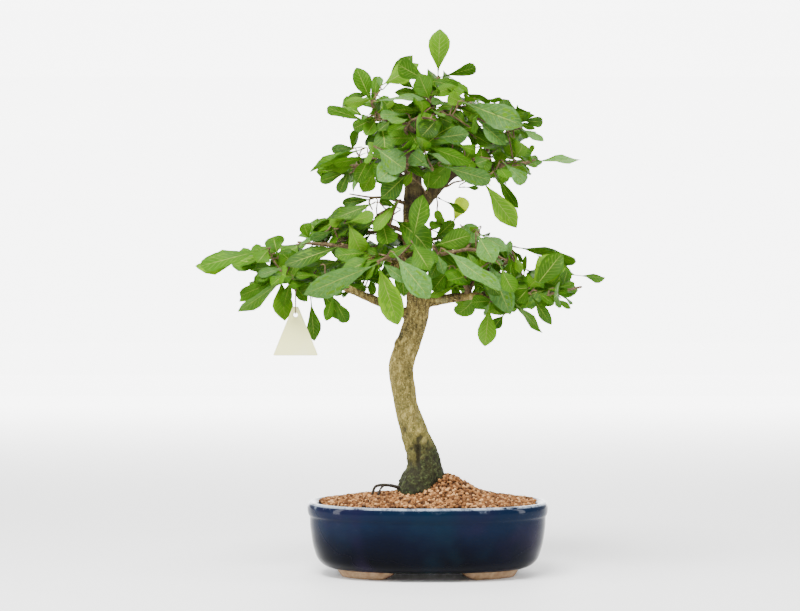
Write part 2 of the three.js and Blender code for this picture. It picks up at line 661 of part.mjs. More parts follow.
// The blade's sections: its two edges and the keel of its midrib, at more stations on a long chosen leaf
const LONG_LEAF = 44;
const bladeStations = (leaf) => (leaf.chosen && leaf.length > LONG_LEAF ? [0.33, 0.6, 0.84] : [0.4, 0.74]);
const bladeRings = (leaf) =>
  bladeStations(leaf).map((s) => [
    leafPoint(leaf, s, -1),
    leafPoint(leaf, s, 1),
    leafPoint(leaf, s, 0).addScaledVector(bladeFrame(leaf, s).out, -RIB_DEPTH),
  ]);

// A leaf starts at its root, or further back where its shoot leaves the twig
function leafSolid(leaf) {
  const along = leaf.along.clone();
  const rings = [];
  if (leaf.shoot) {
    along.add(leaf.root.clone().sub(leaf.shoot).normalize()).normalize();
    rings.push(stalkRing(leaf, leaf.shoot, along, SHOOT_RADIUS));
  }
  rings.push(stalkRing(leaf, leaf.root, along, STALK_RADIUS));
  return solid(loft([...rings, ...bladeRings(leaf)], { tip: leafPoint(leaf, 1, 0) }));
}

// A twig, with its end leaf if it has one
function twigSolid(twig, leaf) {
  const along = twig.points[1].clone().sub(twig.points[0]).normalize();
  const frame = leaf ?? { side: along.clone().cross(UP).normalize() };
  const rings = twig.points.map((p, k) => stalkRing(frame, p, along, TWIG_RADII[k]));
  if (!leaf) return solid(loft(rings));
  return solid(loft([...rings, ...bladeRings(leaf)], { tip: leafPoint(leaf, 1, 0) }));
}

// Points spread over a leaf's blade, as many as its size needs
function leafSamples(leaf) {
  const rows = Math.ceil((0.8 * leaf.length) / SAMPLE_STEP);
  const columns = Math.max(Math.ceil(leaf.width / SAMPLE_STEP), 2);
  const samples = [];
  for (let k = 0; k <= rows; k++) {
    for (let i = 0; i <= columns; i++) {
      samples.push(leafPoint(leaf, 0.2 + (0.8 * k) / rows, 0.94 * ((2 * i) / columns - 1)));
    }
  }
  return samples;
}

// A leaf from its root and tip. face is the way that its upper side looks, as far as its length allows
function leafBetween(root, tip, face, turn, shape) {
  const along = tip.clone().sub(root);
  const length = along.length();
  along.normalize();
  const normal = face.clone().addScaledVector(along, -face.dot(along)).normalize();
  normal.applyAxisAngle(along, turn);
  return { root, along, normal, side: along.clone().cross(normal), length, ...shape };
}

// What the leaves keep clear of: points with a radius, the spray that each belongs to and its twig
const obstacles = [];

function addStemObstacles(points, thick, spray, owner) {
  const steps = (points.length - 1) * 5;
  for (let k = 0; k <= steps; k++) {
    const radius = thick[0] + ((thick[1] - thick[0]) * k) / steps;
    obstacles.push({ p: curvePoint(points, k / steps), r: radius + STEM_ROOM, spray, owner });
  }
}

function addTrunkObstacles() {
  for (let k = 0; k < TRUNK.length - 1; k++) {
    for (const u of [0, 0.5]) {
      const p = vector(TRUNK[k]).lerp(vector(TRUNK[k + 1]), u);
      obstacles.push({ p, r: TRUNK[k][3] + TRUNK_ROOM, spray: "wood", owner: "trunk" });
    }
  }
}

function addTagObstacles() {
  for (let z = TAG.bottom; z <= TAG.top + TIE_REACH; z += TAG_ROOM) {
    const down = Math.max((TAG.top - z) / (TAG.top - TAG.bottom), 0);
    const half = z > TAG.top ? 0 : TAG.halfTop + down * (TAG.halfBottom - TAG.halfTop);
    for (let x = -half; x <= half; x += TAG_ROOM) {
      obstacles.push({ p: new THREE.Vector3(TAG.x + x, TAG.y, z), r: TAG_ROOM, spray: "tag", owner: "tag" });
    }
  }
}

function addLeafObstacles(leaf) {
  for (const p of leafSamples(leaf)) obstacles.push({ p, r: CLEARANCE, spray: leaf.spray, owner: "leaf" });
  if (leaf.shoot) addStemObstacles([leaf.shoot, leaf.root], [SHOOT_RADIUS, STALK_RADIUS], leaf.spray, "shoot");
}

// The least room between a leaf and what stands already but its own twig; below 0 it is too close.
// Leaves of its own spray may come nearer, and its shoot keeps clear of the other sprays alone
function roomAround(leaf) {
  const middle = leafPoint(leaf, 0.6, 0);
  const near = obstacles.filter((o) => o.owner !== leaf.owner && o.p.distanceTo(middle) < leaf.length + o.r);
  const reach = (o) => (o.owner === "leaf" && o.spray === leaf.spray ? OWN_CLEARANCE : o.r);
  let room = Math.min(...leafSamples(leaf).flatMap((q) => near.map((o) => o.p.distanceTo(q) - reach(o))));
  if (leaf.shoot) {
    const others = obstacles.filter((o) => o.spray !== leaf.spray && o.p.distanceTo(leaf.root) < MOST_SHOOT);
    const on = [0.25, 0.5, 0.75, 1].map((t) => leaf.shoot.clone().lerp(leaf.root, t));
    room = Math.min(room, ...on.flatMap((q) => others.map((o) => o.p.distanceTo(q) - o.r + SHOOT_ROOM)));
  }
  return room;
}

// The tree's foliage: each spray's twigs, then the leaves set by eye, then the others by rule
const TREE_AXIS = new THREE.Vector3(-16, 0, 0);
const FACE_FRONT = new THREE.Vector3(0, -0.9, 0.44);

function layTwigs(spray, index) {
  const stem = spray.stem.map(vector);
  const twigs = [{ points: stem, thick: spray.thick, spray: index, owner: index + ".0", leaves: 0 }];
  spray.twigs.forEach(([at, x, y, z, leaves], k) => {
    const points = [curvePoint(stem, at), new THREE.Vector3(x, y, z)];
    twigs.push({ points, thick: TWIG_RADII, spray: index, owner: index + "." + (k + 1), leaves });
  });
  return twigs;
}

// The point at depth y that the eye sees at x and z on the plane through the middle of the pot
function seenAt(x, z, y) {
  const far = 1 - y / EYE.y;
  return new THREE.Vector3(EYE.x + (x - EYE.x) * far, y, EYE.z + (z - EYE.z) * far);
}

// And back: where the eye sees a point on that plane
function seenFrom(p) {
  const far = 1 - p.y / EYE.y;
  return [EYE.x + (p.x - EYE.x) / far, EYE.z + (p.z - EYE.z) / far];
}

const inOval = ([x, z, width, height], [u, w]) => ((u - x) / width) ** 2 + ((w - z) / height) ** 2 < 1;
function showsInCrown(leaf) {
  const places = [leafPoint(leaf, 1, 0), leafPoint(leaf, 0.6, -0.8), leafPoint(leaf, 0.6, 0.8)].map(seenFrom);
  return places.every((p) => CROWN.some((oval) => inOval(oval, p)) && !CHINKS.some((oval) => inOval(oval, p)));
}

// Where on the spray a leaf's shoot starts: near its root, and behind it as the leaf runs
function shootStart(twigs, root, tip) {
  const along = tip.clone().sub(root).normalize();
  let best = null;
  for (const twig of twigs) {
    const steps = (twig.points.length - 1) * 6;
    for (let k = 1; k <= steps; k++) {
      const p = curvePoint(twig.points, k / steps);
      const way = root.clone().sub(p);
      const cost = way.length() + SHOOT_BEND * (way.length() - way.dot(along));
      if (!best || cost < best.cost) best = { cost, p, owner: twig.owner };
    }
  }
  return best;
}

// A leaf set by eye is moved forward or back until it clears what stands already. One that is seen
// narrower than a leaf is has its face turned away
const BENDS = [0, -6, 6, -12, 12, -18, 18, -24, 24, -30, 30, -36, 36];
function layChosenLeaf(twigs, [rootX, rootZ, tipX, tipZ, y, width, shows], draw) {
  const draws = Array.from({ length: 8 }, draw);
  const sign = draws[7] < 0.5 ? -1 : 1;
  const under = shows === 2 ? -1 : 1;
  const options = BENDS.map((bend) => {
    const tip = seenAt(tipX, tipZ, y + bend);
    const start = shootStart(twigs, seenAt(rootX, rootZ, y + bend), tip);
    const root = seenAt(rootX, rootZ, (start.p.y + y + bend) / 2);
    const length = tip.distanceTo(root);
    const real = Math.max(width, LEAST_WIDTH * length);
    const turn = sign * (Math.acos(width / real) + 0.3 * draws[6]);
    const shape = {
      width: real,
      arch: under * (0.03 + 0.08 * draws[0]),
      fold: 0.03 + 0.1 * draws[1],
      form: 1 + 0.5 * draws[2],
      wave: 0.08 + 0.14 * draws[3],
      phase: 6 * draws[3],
      twist: 0.9 * (draws[4] - 0.5),
      sway: 0.1 * (draws[5] - 0.5),
      spray: twigs[0].spray,
      owner: start.owner,
      chosen: true,
    };
    if (root.distanceTo(start.p) > LEAST_SHOOT) shape.shoot = start.p;
    const face = FACE_FRONT.clone().multiplyScalar(under);
    return leafBetween(shape.shoot ? root : start.p, tip, face, turn, shape);
  });
  let best = null;
  for (const leaf of options) {
    const room = roomAround(leaf);
    if (!best || room > best.room) best = { leaf, room };
    if (room > 0) break;
  }
  return best.leaf;
}

// One try at leaf i of n on a twig: alternate sides, drooping, face up and away from the trunk
function tryLeaf(twig, i, draw) {
  const end = i === twig.leaves - 1;
  const at = end ? 1 : 0.3 + (0.66 * i) / twig.leaves;
  const root = curvePoint(twig.points, at);
  const along = curvePoint(twig.points, at).sub(curvePoint(twig.points, at - 0.05)).normalize();
  const level = along.clone().cross(UP).normalize();
  const raised = level.clone().cross(along);
  const draws = Array.from({ length: 10 }, draw);
  const spread = (draws[0] - 0.5) * 2.6;
  const sign = i % 2 ? 1 : -1;
  const radial = level.multiplyScalar(sign * Math.cos(spread)).addScaledVector(raised, Math.sin(spread));
  const away = root.clone().sub(TREE_AXIS).setZ(0).normalize();
  const direction = along.multiplyScalar(end ? 1 : 0.5).addScaledVector(radial, end ? 0.35 : 0.85);
  direction.addScaledVector(away, 0.2).addScaledVector(UP, 0.25 - 0.95 * draws[1]).normalize();
  const length = LEAF_LENGTH * (0.68 + 0.46 * draws[2]);
  const tip = root.clone().addScaledVector(direction, length);
  const face = UP.clone().multiplyScalar(0.9).addScaledVector(away, 0.9);
  const shape = {
    width: length * (0.4 + 0.16 * draws[3]),
    arch: 0.04 + 0.12 * draws[4],
    fold: 0.04 + 0.12 * draws[5],
    form: 1 + 0.5 * draws[6],
    wave: 0.08 + 0.14 * draws[7],
    phase: 6 * draws[7],
    twist: 1.2 * (draws[8] - 0.5),
    sway: 0.14 * (draws[9] - 0.5),
    spray: twig.spray,
    owner: twig.owner,
    end,
  };
  return leafBetween(root, tip, face, (draws[6] - 0.5) * 1.9, shape);
}

function layLeaves() {
  const draws = SPRAYS.map((spray, index) => seededDraw(FOLIAGE_SEED + 77 * index));
  const twigs = SPRAYS.map(layTwigs);
  const leaves = SPRAYS.map(() => []);
  const add = (leaf, index) => {
    leaves[index].push(leaf);
    addLeafObstacles(leaf);
  };
  addTrunkObstacles();
  LIMBS.forEach((limb) => addStemObstacles(limb.path.map(vector), limb.thick, "wood", "limb"));
  twigs.flat().forEach((twig) => addStemObstacles(twig.points, twig.thick, twig.spray, twig.owner));
  addTagObstacles();
  SPRAYS.forEach((spray, index) => {
    for (const row of spray.leaves) add(layChosenLeaf(twigs[index], row, draws[index]), index);
  });
  SPRAYS.forEach((spray, index) => {
    for (const twig of twigs[index]) {
      for (let i = twig.leaves - 1; i >= 0; i--) {
        for (let attempt = 0; attempt < TRIES; attempt++) {
          const leaf = tryLeaf(twig, i, draws[index]);
          if (showsInCrown(leaf) && roomAround(leaf) > 0) {
            add(leaf, index);
            break;
          }
        }
      }
    }
  });
  return { twigs, leaves };
}

// A twig that is to have leaves and found room for none is left out
function spraySolid([stem, ...others], leaves, wood) {
  const twigs = others.filter((twig) => twig.leaves === 0 || leaves.some((leaf) => leaf.owner === twig.owner));
  const endLeaf = (twig) => leaves.find((leaf) => leaf.end && leaf.owner === twig.owner);
  const onTwigs = twigs.map((twig) => twigSolid(twig, endLeaf(twig)));
  const single = leaves.filter((leaf) => !leaf.end).map(leafSolid);
  const stemPiece = stemSolid(stem.points, stem.thick, STEM_SIDES, stem.points.length - 1);
  return largest(fuse([stemPiece, ...onTwigs, ...single]).subtract(wood));
}

// Pot
function ovalRing(inset, height, count = POT_SEGMENTS) {
  return Array.from({ length: count }, (_, i) => {
    const angle = (2 * Math.PI * i) / count;
    return ovalPoint(angle, inset, height);
  });
}

function ovalPoint(angle, inset, height) {
  const bend = (w) => Math.sign(w) * Math.abs(w) ** (2 / OVAL_POWER);
  const x = (POT_HALF_LENGTH - inset) * bend(Math.cos(angle));
  const y = (POT_HALF_DEPTH - inset) * bend(Math.sin(angle));
  return new THREE.Vector3(x, y, height);
}

function cylinder(x, y, low, high, radius, sides) {
  const geometry = new THREE.CylinderGeometry(radius, radius, high - low, sides);
  geometry.rotateX(Math.PI / 2).translate(x, y, (low + high) / 2);
  return solid(geometry);
}

function box(x, y, z, width, depth, height) {
  const geometry = new THREE.BoxGeometry(width, depth, height);
  geometry.translate(x, y, z + height / 2);
  return solid(geometry);
}

// One foot: a band that follows the oval round one corner, its ends swept up to the underside
const FOOT_STATIONS = 7;
function foot(middle) {
  const rings = Array.from({ length: FOOT_STATIONS }, (_, k) => {
    const share = (2 * k) / (FOOT_STATIONS - 1) - 1;
    const angle = middle + share * 0.46;
    const low = Math.abs(share) > 0.99 ? UNDERSIDE - 0.4 : Math.abs(share) > 0.7 ? 1.6 : 0;
    const slope = low > 0 ? 1 : 0;
    return [
      ovalPoint(angle, 31, UNDERSIDE + 2),
      ovalPoint(angle, 35 - slope, low),
      ovalPoint(angle, 51 + slope, low),
      ovalPoint(angle, 54, UNDERSIDE + 2),
    ];
  });
  return solid(loft(rings));
}

const FOOT_ANGLES = [0.25, 0.75, 1.25, 1.75].map((share) => share * Math.PI);

function potSolid() {
  const rings = [...POT_OUTSIDE, ...POT_INSIDE].map(([inset, height]) => ovalRing(inset, height));
  const drains = [-DRAIN_X, DRAIN_X].map((x) => cylinder(x, 0, 0, FLOOR_TOP + 5, DRAIN_RADIUS, 12));
  return fuse([solid(loft(rings)), ...FOOT_ANGLES.map(foot)]).subtract(fuse(drains));
}

// Drainage screens: plastic net over the drain holes
const SCREEN_SIZE = 34;
const SCREEN_THICKNESS = 1.6;
const SCREEN_MESHES = 3;
const SCREEN_BAR = 2.6;
function screenSolid(x) {
  const step = (SCREEN_SIZE - SCREEN_BAR) / SCREEN_MESHES;
  const hole = step - SCREEN_BAR;
  const places = Array.from({ length: SCREEN_MESHES }, (_, k) => (k - (SCREEN_MESHES - 1) / 2) * step);
  const base = FLOOR_TOP + GAP;
  const cut = (u, v) => box(x + u, v, base - 1, hole, hole, SCREEN_THICKNESS + 2);
  const holes = places.flatMap((u) => places.map((v) => cut(u, v)));
  return box(x, 0, base, SCREEN_SIZE, SCREEN_SIZE, SCREEN_THICKNESS).subtract(fuse(holes));
}

// Soil: a low dome of baked clay grains, heaped against the right of the trunk
function soilHeight(x, y) {
  const dome = (x / POT_HALF_LENGTH) ** 2 + (y / POT_HALF_DEPTH) ** 2;
  const heap = 23 * Math.exp(-(((x - 25.5) / 34) ** 2) - ((y - 8) / 40) ** 2);
  return 103 - 13 * dome + heap;
}

// Everything under the soil's grains, down to a far point: every second point of a grid is a grain's top
const FAR_DOWN = -4000;
function soilBlock() {
  const draw = seededDraw(5);
  const columns = 2 * Math.ceil(POT_HALF_LENGTH / SOIL_STEP) + 1;
  const rows = 2 * Math.ceil(POT_HALF_DEPTH / SOIL_STEP) + 1;
  const points = [];
  const faces = [];
  for (let j = 0; j < rows; j++) {
    for (let i = 0; i < columns; i++) {
      const x = (i - (columns - 1) / 2) * SOIL_STEP;
      const y = (j - (rows - 1) / 2) * SOIL_STEP;
      const isGrain = (i + j) % 2 === 0;
      const shift = [0, 1].map(() => (draw() - 0.5) * 0.25 * SOIL_STEP);
      const lift = isGrain ? GRAIN_HEIGHT * (0.55 + 0.6 * draw()) : -0.45 * GRAIN_HEIGHT;
      points.push(new THREE.Vector3(x + shift[0], y + shift[1], soilHeight(x, y) + lift));
      if (i === columns - 1 || j === rows - 1) continue;
      const a = j * columns + i;
      const [b, c, d] = [a + 1, a + columns + 1, a + columns];
      faces.push(...(isGrain ? [b, c, d, b, d, a] : [a, b, c, a, c, d]));
    }
  }
  const edge = [];
  for (let i = 0; i < columns - 1; i++) edge.push(i);
  for (let j = 0; j < rows - 1; j++) edge.push(j * columns + columns - 1);
  for (let i = columns - 1; i > 0; i--) edge.push((rows - 1) * columns + i);
  for (let j = rows - 1; j > 0; j--) edge.push(j * columns);
  edge.forEach((a, k) => faces.push(a, points.length, edge[(k + 1) % edge.length]));
  points.push(new THREE.Vector3(0, 0, FAR_DOWN));
  return solid(new THREE.BufferGeometry().setFromPoints(points).setIndex(faces));
}

// The soil fills the pot from its floor, round the screens and the foot of the trunk
function soilSolid(wood) {
  const inside = POT_INSIDE.slice(1).reverse().map(([inset, height]) => ovalRing(inset + GAP, height + GAP));
  inside.push(ovalRing(POT_INSIDE[1][0] + GAP, 2 * POT_INSIDE[0][1]));
  const room = SCREEN_SIZE + 2 * GAP;
  const screens = [-DRAIN_X, DRAIN_X].map((x) => box(x, 0, 0, room, room, FLOOR_TOP + SCREEN_THICKNESS + 2 * GAP));
  return largest(soilBlock().intersect(solid(loft(inside))).subtract(fuse([wood, ...screens])));
}

// Tag: a blank plastic triangle with a cut-off top, and the wire loop that it hangs by
function tagSolid() {
  const outline = new THREE.Shape();
  outline.moveTo(-TAG.halfBottom, TAG.bottom);
  outline.lineTo(TAG.halfBottom, TAG.bottom);
  outline.lineTo(TAG.halfTop, TAG.top);
  outline.lineTo(-TAG.halfTop, TAG.top);
  const hole = new THREE.Path();
  hole.absarc(0, TAG.holeHeight, TAG.holeRadius, 0, 2 * Math.PI);
  outline.holes.push(hole);
  const options = { depth: TAG.thickness, bevelEnabled: false, curveSegments: 6 };
  const geometry = new THREE.ExtrudeGeometry(outline, options);
  geometry.rotateX(Math.PI / 2).translate(TAG.x, TAG.y + TAG.thickness / 2, 0);
  return solid(geometry);
}

function tieSolid(spray) {
  const stem = spray.stem.map(vector).find((p) => p.x === TAG.x);
  const at = (y, z) => new THREE.Vector3(TAG.x, y, z);
  const low = TAG.holeHeight + TAG.holeRadius - TIE_RADIUS - GAP;
  const sides = [-1, 1].map((sign) => [
    at(TAG.y + sign * TIE_HALF_WIDTH, TAG.top + 2),
    at(TAG.y + sign * TIE_HALF_WIDTH, low + 1.5),
    at(TAG.y + sign * 0.8, low),
  ]);
  const round = Array.from({ length: 7 }, (_, k) => {
    const angle = ((k - 0.6) / 4.8) * Math.PI;
    return at(stem.y + TIE_TOP_RADIUS * Math.cos(angle), stem.z + TIE_TOP_RADIUS * Math.sin(angle));
  });
  const points = [...round, ...sides[0], ...sides[1].reverse()];
  return solid(loft(ringsAlong(points, 5, () => TIE_RADIUS, true), { closed: true }));
}

// Assembly
const wood = woodSolid();
const woodSpace = woodSolid(GAP);
const { twigs, leaves } = layLeaves();
const bonsai = new THREE.Group();
bonsai.name = "persimmon_bonsai";
bonsai.add(meshOf("pot", potSolid(), COLOURS.glaze, 0.15));
bonsai.add(meshOf("soil", soilSolid(woodSpace), COLOURS.soil, 0.95));
bonsai.add(meshOf("screen_left", screenSolid(-DRAIN_X), COLOURS.screen, 0.6));
bonsai.add(meshOf("screen_right", screenSolid(DRAIN_X), COLOURS.screen, 0.6));
bonsai.add(meshOf("trunk_and_limbs", wood, COLOURS.bark, 0.9));
SPRAYS.forEach((spray, k) => {
  const made = spraySolid(twigs[k], leaves[k], woodSpace);
  bonsai.add(meshOf("spray_" + spray.name, made, COLOURS.leaf, 0.5));
});
bonsai.add(meshOf("tag", tagSolid(), COLOURS.tag, 0.4));
const tagSpray = SPRAYS.find((spray) => spray.name === "low_left_end");
bonsai.add(meshOf("tag_tie", tieSolid(tagSpray), COLOURS.tie, 0.7));

// The origin goes to the middle of the footprint of the whole object
const bounds = new THREE.Box3().setFromObject(bonsai);
const centre = bounds.getCenter(new THREE.Vector3());
bonsai.position.set(-centre.x, -centre.y, 0);

export default bonsai;
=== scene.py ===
# %% [markdown]
# # A persimmon bonsai in a glazed oval pot
#
# The tree is a small-leaved persimmon, about 70 cm from the table to its topmost leaf. This lesson builds
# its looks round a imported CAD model, the frame, piece by piece: the pot, the soil, the wood, the leafy
# shoots, and the blank tag that hangs on one of them. Every shape is a formula worked out on whole arrays
# of numbers, so that changing one number changes the whole piece.

# %% Load the frame
import math

import bpy
import numpy as np
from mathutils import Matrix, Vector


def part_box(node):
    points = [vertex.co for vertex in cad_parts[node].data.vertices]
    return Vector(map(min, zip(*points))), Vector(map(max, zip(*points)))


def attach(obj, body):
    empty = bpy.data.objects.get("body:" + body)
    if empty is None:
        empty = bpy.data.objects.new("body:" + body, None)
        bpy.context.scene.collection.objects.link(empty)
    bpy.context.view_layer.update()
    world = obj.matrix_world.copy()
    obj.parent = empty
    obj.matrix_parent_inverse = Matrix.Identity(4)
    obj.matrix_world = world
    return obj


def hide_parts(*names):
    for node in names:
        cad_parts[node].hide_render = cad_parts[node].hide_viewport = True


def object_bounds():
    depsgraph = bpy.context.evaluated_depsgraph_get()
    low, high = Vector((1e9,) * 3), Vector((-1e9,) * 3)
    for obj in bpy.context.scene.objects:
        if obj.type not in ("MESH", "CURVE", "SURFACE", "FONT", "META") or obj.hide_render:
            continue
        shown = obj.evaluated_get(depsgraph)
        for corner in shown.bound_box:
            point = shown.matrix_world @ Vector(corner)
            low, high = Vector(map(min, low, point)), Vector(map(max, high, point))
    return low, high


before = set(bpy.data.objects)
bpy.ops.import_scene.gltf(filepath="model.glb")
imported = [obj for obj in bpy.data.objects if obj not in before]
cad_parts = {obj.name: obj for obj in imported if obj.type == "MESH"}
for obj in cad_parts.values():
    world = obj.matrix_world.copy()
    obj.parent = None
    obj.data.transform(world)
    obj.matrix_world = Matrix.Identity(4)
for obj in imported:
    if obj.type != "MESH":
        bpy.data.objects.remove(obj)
cad_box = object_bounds()
print("CAD nodes:", len(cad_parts))

# %% [markdown]
# ## The camera and the light
#
# The photograph was taken level with the middle of the tree, from far enough that the pot shows almost no
# top. A long lens at 2.7 m gives the same view. Soft light comes from a white room, one wide panel over
# the front of the tree, one behind it that shines through the leaves, and an upright panel at each side,
# which the glaze mirrors as pale bands.

# %% Camera, light and table
MM = 0.001
pot_low, pot_high = (np.array(corner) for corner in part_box("pot"))
layout_origin = np.append(((pot_low + pot_high) / 2)[:2], 0.0)


def placed(points):
    """Layout millimetres, measured from the table under the middle of the pot, as metres in the frame."""
    return np.asarray(points, float) * MM + layout_origin


CAMERA_AT = (-35.5, -2700, 345)
LENS_MM = 94.2
camera = bpy.data.objects.new("camera", bpy.data.cameras.new("camera"))
bpy.context.collection.objects.link(camera)
camera.data.lens = LENS_MM
camera.data.sensor_width = 36
camera.data.clip_end = 50
camera.location = placed(CAMERA_AT)
camera.rotation_euler = (math.radians(90), 0, 0)
bpy.context.scene.camera = camera


def soft_panel(name, place, aim, size, power):
    """A flat panel light of size (width, height) in metres, facing the point aim."""
    light = bpy.data.lights.new(name, "AREA")
    light.shape = "RECTANGLE"
    light.size, light.size_y = size
    light.energy = power
    panel = bpy.data.objects.new(name, light)
    bpy.context.collection.objects.link(panel)
    way = np.array(aim, float) - np.array(place, float)
    flat = math.hypot(way[0], way[1])
    panel.location = place
    panel.rotation_euler = (math.atan2(flat, -way[2]), 0, math.atan2(way[1], way[0]) - math.pi / 2)


soft_panel("panel_over", (-0.5, -1.2, 2.4), (0, 0, 0.4), (1.4, 1.0), 165)
soft_panel("panel_behind", (0.3, 1.5, 1.9), (0, 0, 0.45), (1.6, 1.0), 26)
soft_panel("panel_left", (-1.6, -0.5, 0.6), (0, 0, 0.2), (0.30, 1.3), 34)
soft_panel("panel_right", (1.7, -0.4, 0.6), (0, 0, 0.2), (0.30, 1.3), 30)
room = bpy.data.worlds.new("white_room")
room.use_nodes = True
room.node_tree.nodes["Background"].inputs["Color"].default_value = (1.0, 0.995, 0.98, 1)
room.node_tree.nodes["Background"].inputs["Strength"].default_value = 0.82
bpy.context.scene.world = room

# %% [markdown]
# ## Small tools for meshes
#
# A surface here is a grid of points: rows along the piece and columns round it. Neighbouring rows and
# columns make its four-sided faces, and a pole closes an open end. All the surfaces of one piece are
# gathered in one mesh, which may have two materials. An edge that turns by more than 55 degrees stays
# sharp, so that a thin leaf shades as a flat sheet and not as a pillow.

# %% Meshes from grids
class Surface:
    """Points in layout millimetres, faces of four point numbers (a triangle repeats its last one), and
    named values at the points."""

    def __init__(self, points, faces, **values):
        self.points = np.asarray(points, float).reshape(-1, 3)
        self.faces = np.asarray(faces, int).reshape(-1, 4)
        self.values = {k: np.asarray(v, float).reshape(len(self.points), -1) for k, v in values.items()}


def gathered(surfaces):
    """Several surfaces as one: each one's point numbers are raised by the points before it."""
    starts = np.cumsum([0] + [len(s.points) for s in surfaces])
    faces = np.concatenate([s.faces + start for s, start in zip(surfaces, starts)])
    names = surfaces[0].values.keys()
    values = {k: np.concatenate([s.values[k] for s in surfaces]) for k in names}
    return Surface(np.concatenate([s.points for s in surfaces]), faces, **values)


def ring_faces(rows, columns, closed=False):
    """Faces between neighbouring rings of a grid whose columns go all the way round. In a closed grid the
    last ring joins the first."""
    row, column = np.meshgrid(np.arange(rows if closed else rows - 1), np.arange(columns), indexing="ij")
    beside, above = (column + 1) % columns, (row + 1) % rows
    corners = [row * columns + column, row * columns + beside,
        above * columns + beside, above * columns + column]
    return np.stack(corners, axis=-1).reshape(-1, 4)


def tube(rings, **values):
    """Rings of points, (rows, columns, 3), as a closed skin with a pole in the middle of each end."""
    rows, columns, _ = rings.shape
    count = rows * columns
    around = np.arange(columns)
    beside = (around + 1) % columns
    low, high = np.full(columns, count), np.full(columns, count + 1)
    end = (rows - 1) * columns
    caps = [np.stack([beside, around, low, low], axis=1),
        np.stack([end + around, end + beside, high, high], axis=1)]
    points = np.concatenate([rings.reshape(-1, 3), [rings[0].mean(axis=0), rings[-1].mean(axis=0)]])
    full = {}
    for name, v in values.items():
        v = np.broadcast_to(v, (rows, columns) + np.shape(v)[2:])
        flat = v.reshape(count, -1)
        full[name] = np.concatenate([flat, [flat[:columns].mean(axis=0), flat[-columns:].mean(axis=0)]])
    return Surface(points, np.concatenate([ring_faces(rows, columns), *caps]), **full)


def piece(name, surface, materials, face_material=None, sharp=55):
    """A mesh object at the origin from a surface, riding on the one rigid body."""
    mesh = bpy.data.meshes.new(name)
    faces = [f[:3] if f[2] == f[3] else f for f in surface.faces.tolist()]
    mesh.from_pydata(placed(surface.points).tolist(), [], faces)
    for key, v in surface.values.items():
        kind = {1: "FLOAT", 3: "FLOAT_VECTOR"}[v.shape[1]]
        store = mesh.attributes.new(key, kind, "POINT")
        store.data.foreach_set("value" if kind == "FLOAT" else "vector", v.ravel())
    for material in materials:
        mesh.materials.append(material)
    if face_material is not None:
        mesh.polygons.foreach_set("material_index", np.asarray(face_material, np.int32))
    mesh.shade_smooth()
    mesh.set_sharp_from_angle(angle=math.radians(sharp))
    obj = bpy.data.objects.new(name, mesh)
    bpy.context.collection.objects.link(obj)
    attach(obj, "root")
    print(f"{name}: {len(mesh.vertices)} points, {sum(len(f) - 2 for f in faces)} triangles")
    return obj


# %% Curves, rings and noise
def unit(v):
    """Each vector divided by its length."""
    return v / np.linalg.norm(v, axis=-1, keepdims=True)


def on_curve(points, t):
    """Points at t, 0 to 1, on the smooth curve through the given ones (Catmull-Rom), each stretch with an
    equal share of t. A curve of two points is a straight line."""
    points = np.asarray(points, float)
    t = np.asarray(t, float)
    last = len(points) - 1
    if last == 1:
        return points[0] + (points[1] - points[0]) * t[..., None]
    at = np.clip(t, 0, 1) * last
    i = np.minimum(np.floor(at).astype(int), last - 1)
    u = (at - i)[..., None]
    padded = np.concatenate([[2 * points[0] - points[1]], points, [2 * points[-1] - points[-2]]])
    a, b, c, d = (padded[i + k] for k in range(4))
    weights = [-u + 2 * u**2 - u**3, 2 - 5 * u**2 + 3 * u**3, u + 4 * u**2 - 3 * u**3, u**3 - u**2]
    return sum(w * q for w, q in zip(weights, (a, b, c, d))) / 2


def rings_along(path, radius, closed=False):
    """Rings square to a path. radius is (rings, columns); the first column of each ring carries on from
    the ring before it without twisting."""
    path = np.asarray(path, float)
    before, after = np.roll(path, 1, axis=0), np.roll(path, -1, axis=0)
    if not closed:
        before[0], after[-1] = path[0], path[-1]
    along = unit(after - before)
    side = np.array([1.0, 0, 0] if abs(along[0, 0]) < 0.9 else [0, 1.0, 0])
    sides = []
    for a in along:
        side = unit(side - a * (side @ a))
        sides.append(side)
    sides = np.array(sides)[:, None]
    other = np.cross(along[:, None], sides)
    angle = (2 * np.pi * np.arange(radius.shape[1]) / radius.shape[1])[None, :, None]
    return path[:, None] + radius[..., None] * (np.cos(angle) * sides + np.sin(angle) * other)


def noise(points, size, seed=0):
    """Smooth random values from -1 to 1: random numbers on a lattice of that spacing, blended between the
    eight nearest by a smooth step."""
    q = np.asarray(points, float) / size
    cell = np.floor(q).astype(np.int64)
    u = q - cell
    u = u * u * (3 - 2 * u)
    total = np.zeros(q.shape[:-1])
    for corner in np.ndindex(2, 2, 2):
        c = cell + np.array(corner)
        h = c[..., 0] * 73856093 ^ c[..., 1] * 19349663 ^ c[..., 2] * 83492791 ^ (seed + 1) * 40503
        h = h & 0xFFFFFFFF
        h = ((h ^ (h >> 13)) * 1274126177) & 0xFFFFFFFF
        value = ((h ^ (h >> 16)) & 0xFFFF) / 32767.5 - 1
        total += np.prod(np.where(corner, u, 1 - u), axis=-1) * value
    return total


def bump(x, middle, width):
    """A smooth hill of height 1 at middle, which falls off over width."""
    return np.exp(-(((x - middle) / width) ** 2))


# %% [markdown]
# ## Small tools for materials
#
# Every finish is a few nodes in front of one Principled shader. Patterns read Object coordinates, which
# are metres in the frame, so a pattern's scale says how many of its spots fit in a metre.

